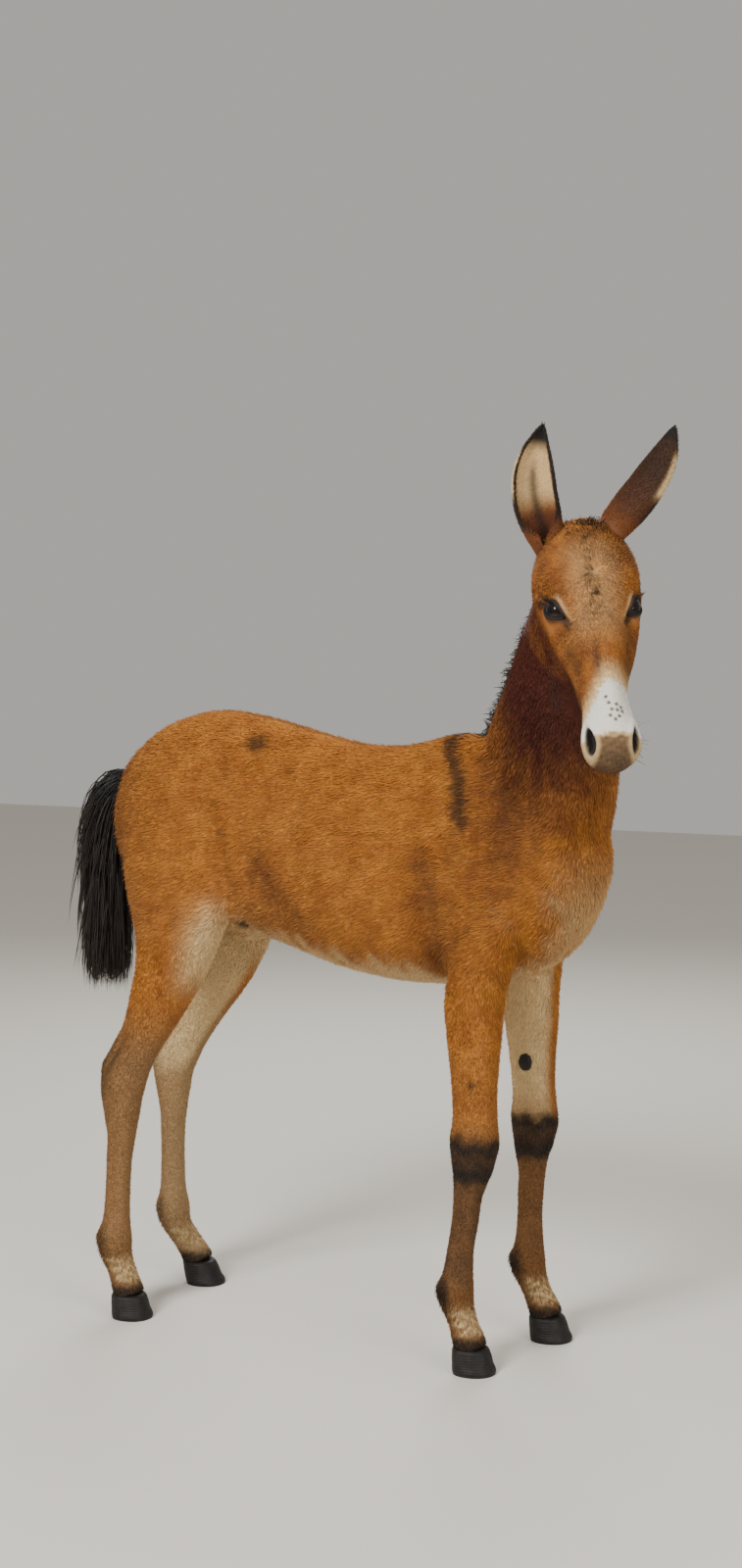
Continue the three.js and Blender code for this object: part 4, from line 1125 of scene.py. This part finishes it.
corners, polygons = loops_of(skin.data), skin.data.polygons
owner = np.repeat(np.arange(len(polygons)), read(polygons, "loop_total", 1, np.int32)[:, 0])
middle_points = middles_of(skin.data)
face_part = part_of(middle_points)
_, face_turn = unwrap(middle_points, face_part)
corner_length, corner_turn = unwrap(skin_points[corners], face_part[owner])
corner_turn += np.round(face_turn[owner] - corner_turn)
write_map(skin.data, on_tile(corner_length, corner_turn, face_part[owner]))
for number, name in enumerate(SIDES, FIRST_EAR):
    share, way, inside = ear_notes[name]
    sheet_corners = loops_of(ears[name].data)
    turn = (0.5 * way + 0.5 * inside)[sheet_corners]
    length = np.clip(share[sheet_corners], 0, 1)
    write_map(ears[name].data, on_tile(length, turn, np.full(len(turn), number)))
for lid in lids.values():
    lid_points = in_mm(lid.data)[loops_of(lid.data)]
    lid_part = np.full(len(lid_points), HEAD_PART)
    write_map(lid.data, on_tile(*unwrap(lid_points, lid_part), lid_part))
print("unwrapped onto", len(TILES), "tiles")

# %% [markdown]
# Every finish starts from what the real one is. All colours are given as they look on a screen and turned
# into light's own scale by one function.

# %% Colours and shader nodes
def linear(hex_colour):
    values = [int(hex_colour[k:k + 2], 16) / 255 for k in (1, 3, 5)]
    return [v / 12.92 if v <= 0.04045 else ((v + 0.055) / 1.055) ** 2.4 for v in values]


def rgba(hex_colour):
    return (*linear(hex_colour), 1)


def add(tree, kind, sockets=None, **settings):
    """Adds a node, sets it, and links or fills its sockets."""
    node = tree.nodes.new(kind)
    for key, value in settings.items():
        setattr(node, key, value)
    for key, value in (sockets or {}).items():
        if isinstance(value, bpy.types.NodeSocket):
            tree.links.new(value, node.inputs[key])
        else:
            node.inputs[key].default_value = value
    return node


def mix(tree, share, first, second):
    return add(tree, "ShaderNodeMix", {0: share, 6: first, 7: second}, data_type="RGBA").outputs[2]


def noise(tree, size_mm, detail=3.0):
    """Noise with clumps size_mm across, on coordinates in metres."""
    place = add(tree, "ShaderNodeTexCoord").outputs["Object"]
    sockets = {"Vector": place, "Scale": 1 / (size_mm * MM), "Detail": detail}
    return add(tree, "ShaderNodeTexNoise", sockets).outputs[0]


def ranged(tree, value, low, high, to_low=0.0, to_high=1.0):
    return add(tree, "ShaderNodeMapRange", {0: value, 1: low, 2: high, 3: to_low, 4: to_high}).outputs[0]


def finish_of(name):
    made = bpy.data.materials.new(name)
    made.use_nodes = True
    made.node_tree.nodes.clear()
    return made, made.node_tree


def surface(tree, sockets):
    shader = add(tree, "ShaderNodeBsdfPrincipled", sockets)
    add(tree, "ShaderNodeOutputMaterial", {"Surface": shader.outputs[0]})


print("deep bay in light's scale:", np.round(linear("#A05C1C"), 3).tolist())

# %% [markdown]
# Foal wool is a dull, crinkled hair. Each hair is darker at the root, and clumps nearly four centimetres
# wide catch the light differently, so the bay is never one flat colour. Hair is a rough fibre with an IOR
# near 1.55; a little sheen gives the soft pale edge that woolly coats have. The skin under it has the same
# colours and a fine nap.

# %% The coat's finish
# The deep red-brown is partly the neck's own red and partly painted shade of its near side and of the
# creases.
BAY_DEEP, BAY_BRIGHT, DEEP_RED_AND_SHADE = "#A05C1C", "#C27E2E", "#4C1606"
CREAM, NOSE_WHITE, SHANK, BLACK_POINT = "#E8CB96", "#EEE8DA", "#85592D", "#110A07"
CLUMP_MM, NAP_MM = 36, 1.4


def coat_finish(name, napped):
    made, tree = finish_of(name)
    marks = add(tree, "ShaderNodeAttribute", attribute_name="marks")
    shade = add(tree, "ShaderNodeAttribute", attribute_name="shade").outputs["Fac"]
    dark, pale, red_and_shade = add(tree, "ShaderNodeSeparateColor", {0: marks.outputs["Color"]}).outputs[:3]
    clumps = ranged(tree, noise(tree, CLUMP_MM), 0.2, 0.75)
    bay = mix(tree, clumps, rgba(BAY_DEEP), rgba(BAY_BRIGHT))
    # Painted shade and the neck's red come in here as one deep red-brown.
    bay = mix(tree, red_and_shade, bay, rgba(DEEP_RED_AND_SHADE))
    bay = mix(tree, marks.outputs["Alpha"], bay, rgba(SHANK))
    bay = mix(tree, pale, bay, mix(tree, ranged(tree, pale, 0.86, 0.96), rgba(CREAM), rgba(NOSE_WHITE)))
    # The dark number holds the black points and also painted shade from the creases and the groin.
    bay = mix(tree, dark, bay, rgba(BLACK_POINT))
    lit = add(tree, "ShaderNodeHueSaturation", {"Color": bay, "Value": ranged(tree, shade, 0, 1, 0.5, 1.25)})
    sockets = {"Base Color": lit.outputs[0], "Roughness": 0.72, "IOR": 1.55, "Specular IOR Level": 0.3,
               "Sheen Weight": 0.06, "Sheen Roughness": 0.5, "Sheen Tint": rgba("#E0B27C")}
    if napped:
        relief = {"Strength": 0.5, "Distance": 0.6 * MM, "Height": noise(tree, NAP_MM)}
        sockets["Normal"] = add(tree, "ShaderNodeBump", relief).outputs[0]
    surface(tree, sockets)
    return made


napped_skin = coat_finish("napped_foal_skin", True)
bay_wool = coat_finish("bay_foal_wool", False)
print("coat finishes:", napped_skin.name, bay_wool.name)

# %% [markdown]
# The long hair is coarse and nearly black, a little browner at the tips where the sun bleaches it. The eye
# is a wet cornea over a dark brown iris and a black oblong pupil: IOR 1.38 and almost no roughness give one
# sharp highlight. Hoof horn is matt keratin with growth rings every four millimetres, and the chestnut is
# the same horn, cracked.

# %% Hair, eye and horn
WAVE_STEP = 0.314  # a wave pattern of scale 1 has bands this far apart, in metres


def long_hair_finish():
    made, tree = finish_of("black_brown_long_hair")
    shade = add(tree, "ShaderNodeAttribute", attribute_name="shade").outputs["Fac"]
    colour = mix(tree, shade, rgba("#0A0706"), rgba("#241810"))
    surface(tree, {"Base Color": colour, "Roughness": 0.5, "IOR": 1.55, "Specular IOR Level": 0.4})
    return made


def eye_finish():
    made, tree = finish_of("wet_dark_eye")
    iris = add(tree, "ShaderNodeAttribute", attribute_name="iris").outputs["Fac"]
    colour = mix(tree, iris, rgba("#030202"), rgba("#170D08"))
    surface(tree, {"Base Color": colour, "Roughness": 0.04, "IOR": 1.38, "Specular IOR Level": 0.5})
    return made


def horn_finish(name, ring_mm, crack_mm):
    made, tree = finish_of(name)
    place = add(tree, "ShaderNodeTexCoord").outputs["Object"]
    waves = {"Vector": place, "Scale": WAVE_STEP / (ring_mm * MM), "Distortion": 1.5, "Detail": 2.0}
    rings = add(tree, "ShaderNodeTexWave", waves, bands_direction="Z").outputs[1]
    cells = {"Vector": place, "Scale": 1 / (crack_mm * MM)}
    cracks = add(tree, "ShaderNodeTexVoronoi", cells, feature="DISTANCE_TO_EDGE").outputs[0]
    worn = ranged(tree, noise(tree, 12), 0.35, 0.7)
    colour = mix(tree, worn, rgba("#0D0A08"), rgba("#1E1814"))
    height = mix(tree, ranged(tree, cracks, 0, 0.12), rgba("#000000"), rings)
    relief = add(tree, "ShaderNodeBump", {"Strength": 0.6, "Distance": 0.5 * MM, "Height": height})
    surface(tree, {"Base Color": colour, "Roughness": 0.6, "IOR": 1.54, "Specular IOR Level": 0.3,
                   "Normal": relief.outputs[0]})
    return made


long_hair, wet_eye = long_hair_finish(), eye_finish()
hoof_horn = horn_finish("ringed_hoof_horn", ring_mm=4, crack_mm=16)
cracked_horn = horn_finish("cracked_chestnut_horn", ring_mm=6, crack_mm=3)
for name, side in SIDES.items():
    gaze = (to_head(in_mm(eyeballs[name].data)) - on_side(EYE, side)) / EYE_RADIUS
    along, up, _ = eye_axes(side)
    from_pupil = smooth(0.9, 1.15, np.hypot(gaze @ along / 0.34, gaze @ up / 0.2))
    iris = from_pupil * smooth(0.78, 0.7, np.hypot(gaze @ along, gaze @ up))
    write(eyeballs[name].data, "iris", "FLOAT", iris)
    eyeballs[name].data.materials.append(wet_eye)
    chestnuts[name].data.materials.append(cracked_horn)
    ears[name].data.materials.append(napped_skin)
    lids[name].data.materials.append(napped_skin)
skin.data.materials.append(napped_skin)
for made, shares in ((tail, tail_share), (mane, mane_share), (forelock, lock_share)):
    write(made.data, "shade", "FLOAT", shares)
    made.data.materials.append(long_hair)
write(dock.data, "shade", "FLOAT", np.zeros(len(dock.data.vertices)))
dock.data.materials.append(long_hair)
for horn in hoof_pieces.values():
    horn.data.materials.append(hoof_horn)


def make_floor():
    made, tree = finish_of("pale_studio_floor")
    surface(tree, {"Base Color": rgba("#D9D4CA"), "Roughness": 0.85})
    return made


print("finishes:", len(bpy.data.materials))

# %% [markdown]
# The woolly coat is thousands of small closed spikes that lie along the skin and overlap like tiles. Each
# is four triangles: three at the root and a tip. They are spread by area, denser on the face and the
# shanks, and none grow in the nostrils, the mouth, the eye sockets or under the feet.

# %% Spread over the skin
def spread(made, density, count):
    """Random places on a mesh: their triangles' corners, the loops of those, and each corner's share."""
    mesh = made.data
    mesh.calc_loop_triangles()
    corners, loops = (read(mesh.loop_triangles, key, 3, np.int32) for key in ("vertices", "loops"))
    a, b, c = (co_of(mesh) / MM)[corners].transpose(1, 0, 2)
    area = np.linalg.norm(np.cross(b - a, c - a), axis=1) / 2
    grown = np.cumsum(area * density[corners].mean(1))
    chosen = np.searchsorted(grown, (np.arange(count) + rng.random(count)) / count * grown[-1])
    chosen = np.minimum(chosen, len(corners) - 1)
    u, v = rng.random((2, count))
    over = u + v > 1
    u, v = np.where(over, 1 - u, u), np.where(over, 1 - v, v)
    return corners[chosen], loops[chosen], np.stack([1 - u - v, u, v], 1)


def blend(values, corners, shares):
    """Values at the corners, mixed by their shares."""
    return (values[corners] * shares.reshape(shares.shape + (1,) * (values.ndim - 1))).sum(1)


def sown(made, points, normals, density, count):
    """Roots on a mesh: the corners round each, their shares, its place, its normal, its place on the map."""
    corners, loops, shares = spread(made, density, count)
    on_map = read(made.data.uv_layers["OFBake"].uv, "vector", 2).astype(float)
    places = blend(on_map, loops, shares)
    return corners, shares, blend(points, corners, shares), unit(blend(normals, corners, shares)), places


TUFT_FACES = np.array([(0, 1, 2), (0, 2, 3), (2, 1, 3), (1, 0, 3)])
TUFT_PATCH = 0.0015 * np.array([(-1, -1), (1, -1), (0, 0), (0, 1)])
ROOT_SUNK = 0.8
# Hair sticks together in locks that run along the body.
CLUMP_WIDE, CLUMP_STRETCH, CLUMP_TINT = 9, (0.35, 1, 0.8), 0.16


def tufts(name, roots, normals, lies, lengths, widths, lifts, marks, places):
    """One piece of coat, with a tuft for each root."""
    count = len(roots)
    ahead = lies * np.cos(lifts)[:, None] + normals * np.sin(lifts)[:, None]
    side = unit(np.cross(normals, lies))
    up = np.cross(ahead, side)
    sunk = roots - normals * ROOT_SUNK
    half = widths[:, None] / 2
    foot = [sunk + side * half, sunk - side * half, sunk + up * half * 1.2]
    points = np.stack([*foot, roots + ahead * lengths[:, None]], 1)
    faces = (TUFT_FACES[None] + np.arange(count)[:, None, None] * 4).reshape(-1, 3)
    made = fast_mesh(name, points.reshape(-1, 3), faces)
    tint = rng.normal(0, 0.14, count) + CLUMP_TINT * ripple(roots * CLUMP_STRETCH, CLUMP_WIDE, 9)
    shade = np.clip(np.array([0.2, 0.2, 0.4, 0.9]) + tint[:, None], 0, 1)
    mark(made, np.repeat(marks, 4, axis=0), shade.ravel())
    write_map(made.data, (places[:, None] + TUFT_PATCH)[:, TUFT_FACES].reshape(-1, 2))
    made.data.materials.append(bay_wool)
    return made


print("a tuft has", len(TUFT_FACES), "faces")

# %% [markdown]
# How long the hair is: nearly two centimetres at the belly, a little less on the buttocks, a little over
# one on the back, and only a few millimetres on the face. Behind the fetlocks it grows longer again.

# %% The coat grows
TUFTS, EAR_TUFTS, PIECE = 300000, 13000, 48000
skin_local = to_head(skin_points)
lx, _, lz = skin_local.T
skin_head = on_head(skin_points)
skin_z = skin_points[:, 2]
shank = smooth(560, 420, skin_z)
eye_gaps = np.min([np.linalg.norm(skin_local - on_side(EYE, side), axis=1) for side in SIDES.values()], 0)
nostril_gaps = np.min([nostril_reach(skin_local, side)[0] for side in SIDES.values()], 0)
seam_gap = np.abs(over_mouth(skin_local)) + 60 * (lx < MOUTH_START)
open_skin = (skin_head > 0.5) & ((nostril_gaps < 1.15) | (seam_gap < 2.5))
bald = (eye_gaps < EYE_RADIUS - 0.5) | (skin_z < 41) | open_skin
density = (1 + 1.6 * skin_head + 0.7 * shank) * ~bald
face_length = np.interp(lx, [0, 60, 120, 220, 290, 330, 400], [11, 10, 8, 6, 4, 3, 2.5])
face_length *= 0.3 + 0.7 * smooth(23, 36, eye_gaps)
leg_length = np.interp(skin_z, [40, 60, 110, 160, 300, 450, 600, 690], [6, 6, 8, 5, 5.5, 7, 10, 14])
body_length = 14 + 6 * smooth(0.0, -0.9, skin_normals[:, 2]) + 4 * smooth(-330, -390, skin_points[:, 0])
body_length = np.where(skin_z < 690, leg_length, body_length) * (1 - 0.25 * smooth(950, 1100, skin_z))
body_length += 7 * np.exp(-(((skin_z - 122) / 26) ** 2)) * smooth(0.2, 0.8, -skin_normals[:, 0])
skin_length = body_length * (1 - skin_head) + face_length * skin_head
skin_lie = lie_of(skin_points, skin_normals)

corners, shares, roots, normals, places = sown(skin, skin_points, skin_normals, density, TUFTS)
swirl = rng.normal(0, 0.14, (TUFTS, 3)) + 0.22 * drift(roots, 20, 21)
lies = laid_flat(unit(blend(skin_lie, corners, shares) + swirl), normals)
lengths = blend(skin_length, corners, shares) * rng.uniform(0.65, 1.2, TUFTS)
head_here = blend(skin_head, corners, shares)
widths = np.clip(0.6 + lengths * 0.14, 0.9, 2.6) * rng.uniform(0.8, 1.2, TUFTS)
lifts = np.radians(np.clip(rng.normal(15 - 6 * head_here, 7, TUFTS), 3, 45))
coat_marks = blend(skin_marks, corners, shares)
grown_on = part_of(roots)
coat = []
for number, part in enumerate(PARTS[:FIRST_EAR]):
    here = np.flatnonzero(grown_on == number)
    for first in range(0, len(here), PIECE):
        some = here[first:first + PIECE]
        grown = (roots, normals, lies, lengths, widths, lifts, coat_marks, places)
        coat.append(tufts(f"coat_{part}_{first // PIECE + 1}", *(values[some] for values in grown)))
print("coat:", len(coat), "pieces,", TUFTS, "tufts")

# %% [markdown]
# The ears carry short hair behind and a softer, longer fringe along the rims within. Lashes stand out over
# the eyes, and a few stiff whiskers grow round the lips.

# %% Ear hair, lashes and whiskers
for name in SIDES:
    share, way, inside = ear_notes[name]
    rim = smooth(0.26, 0.06, np.minimum(way, 1 - way))
    ear_density = np.where(inside > 0.5, 0.35 + rim, 1.0) * (share > -0.02)
    ear = ears[name]
    corners, shares, roots, normals, places = sown(
        ear, in_mm(ear.data), normals_of(ear.data), ear_density, EAR_TUFTS)
    _, ear_way, *_ = EARS[name]
    lies = laid_flat(unit(np.array(ear_way)) + rng.normal(0, 0.2, (EAR_TUFTS, 3)), normals)
    lengths = (5.5 + 5 * blend(rim * inside, corners, shares)) * rng.uniform(0.6, 1.2, EAR_TUFTS)
    lengths *= 1 - 0.35 * smooth(0.7, 0.95, blend(share, corners, shares))
    lifts = np.radians(np.clip(rng.normal(12, 6, EAR_TUFTS), 3, 35))
    widths = rng.uniform(0.9, 1.5, EAR_TUFTS)
    marks_here = blend(ear_marks[name], corners, shares)
    coat.append(tufts(f"coat_ear_{name}", roots, normals, lies, lengths, widths, lifts, marks_here, places))

LASHES, WHISKERS = 46, 60
fine_hair = []
for name, side in SIDES.items():
    rings, phi = lid_rings(side)
    along, up, out = eye_axes(side)
    turn = rng.uniform(math.radians(15), math.radians(165), LASHES)
    edge = np.stack([np.interp(turn, phi, rings[2][:, k]) for k in range(3)], 1)
    rises = unit(out + 0.5 * along * np.cos(turn)[:, None] - 0.15 * up + rng.normal(0, 0.1, (LASHES, 3)))
    lies = unit(out + 0.7 * along * np.cos(turn)[:, None] + 0.5 * up + rng.normal(0, 0.1, (LASHES, 3)))
    lengths = rng.uniform(10, 17, LASHES)
    lashes = strands(from_head(edge), rises @ HEAD.T, lies @ HEAD.T, lengths, 0.7, steps=4)
    fine_hair.append(hair_piece(f"lashes_{name}", lashes))
chosen = rng.choice(np.flatnonzero((skin_head > 0.9) & (lx > 325) & (lz < -50) & ~bald), WHISKERS)
rises = unit(skin_normals[chosen] + rng.normal(0, 0.2, (WHISKERS, 3)))
lies = unit(rises + rng.normal(0, 0.2, (WHISKERS, 3)) - 0.4 * UP)
whiskers = strands(skin_points[chosen], rises, lies, rng.uniform(10, 24, WHISKERS), 0.5, steps=4)
fine_hair.append(hair_piece("whiskers", whiskers))
for made, hair_share in fine_hair:
    write(made.data, "shade", "FLOAT", 0.5 * hair_share)
    made.data.materials.append(long_hair)
print("lashes and whiskers:", 2 * LASHES + WHISKERS)

# %% [markdown]
# Ears and lids are flesh as well, so they join the skin: one skin then stands for all the flesh of the
# solids.

# %% One skin
bpy.ops.object.select_all(action="DESELECT")
for piece in (skin, *ears.values(), *lids.values()):
    piece.select_set(True)
bpy.context.view_layer.objects.active = skin
bpy.ops.object.join()
print("skin:", len(skin.data.polygons), "faces")


# %% [markdown]
# The camera stands where the photo was taken from, a little below the foal's eyes and a little over three
# metres from its shoulder. A pale floor and large soft lights show the coat without hard shadows.

# %% Camera, floor and lights
FOCAL_PIXELS, FRAME_HEIGHT, SENSOR = 2200, 1600, 36
def aim(made, place, way):
    """Stands a camera or a lamp at a place and turns it along a way."""
    made.location = place
    made.rotation_mode = "QUATERNION"
    made.rotation_quaternion = Vector(way).to_track_quat("-Z", "Y")


camera = put("camera", bpy.data.cameras.new("camera"))
camera.data.sensor_width = SENSOR
camera.data.lens = SENSOR * FOCAL_PIXELS / FRAME_HEIGHT
aim(camera, (1.601, -3.046, 1.148), (-0.4556, 0.8876, -0.068))
bpy.context.scene.camera = camera

floor_mesh = bpy.data.meshes.new("floor")
floor_mesh.from_pydata([(-9, -9, 0), (9, -9, 0), (9, 9, 0), (-9, 9, 0)], [], [(0, 1, 2, 3)])
floor = put("floor", floor_mesh)


def soft_light(name, place, size, watts, target=(0, 0, 0.8)):
    light = put(name, bpy.data.lights.new(name, "AREA"))
    light.data.shape, light.data.size, light.data.energy = "DISK", size, watts
    aim(light, place, Vector(target) - Vector(place))


soft_light("key", (-0.6, -3.6, 3.2), 1.6, 235)
soft_light("fill", (3.2, -1.6, 1.6), 2.2, 60)
soft_light("back", (-1.2, 2.8, 2.8), 2.0, 70)
world = bpy.data.worlds.new("studio")
bpy.context.scene.world = world
world.use_nodes = True
background = world.node_tree.nodes["Background"]
background.inputs["Color"].default_value = rgba("#E9E6E0")
background.inputs["Strength"].default_value = 0.55
floor.data.materials.append(make_floor())
print("camera lens", camera.data.lens, "mm")

# %% [markdown]
# Every piece rides on the one body and stands for the solids it covers.

# %% Pieces on the one body
LEG_NODES = ["foreleg_right", "foreleg_left", "hindleg_right", "hindleg_left"]
ROLES = [  # piece, slot, and the solids that it stands for
    (skin, "coat", ["head", "neck", "torso", "ear_right", "ear_left", *LEG_NODES]),
    (tail, "tail_hair", ["tail"]),
    *((piece, "tail_hair", []) for piece in (dock, mane, forelock)),
    *((piece, "coat", []) for piece in coat),
    *((piece, "tail_hair", []) for piece, _ in fine_hair),
    *((piece, "eye", [f"eye_{name}"]) for name, piece in eyeballs.items()),
    *((piece, "horn", [f"chestnut_{name}"]) for name, piece in chestnuts.items()),
    *((piece, "horn", [node_name]) for node_name, piece in hoof_pieces.items()),
]
for piece, slot, nodes in ROLES:
    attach(piece, "root")
    if nodes:
        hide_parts(*nodes)
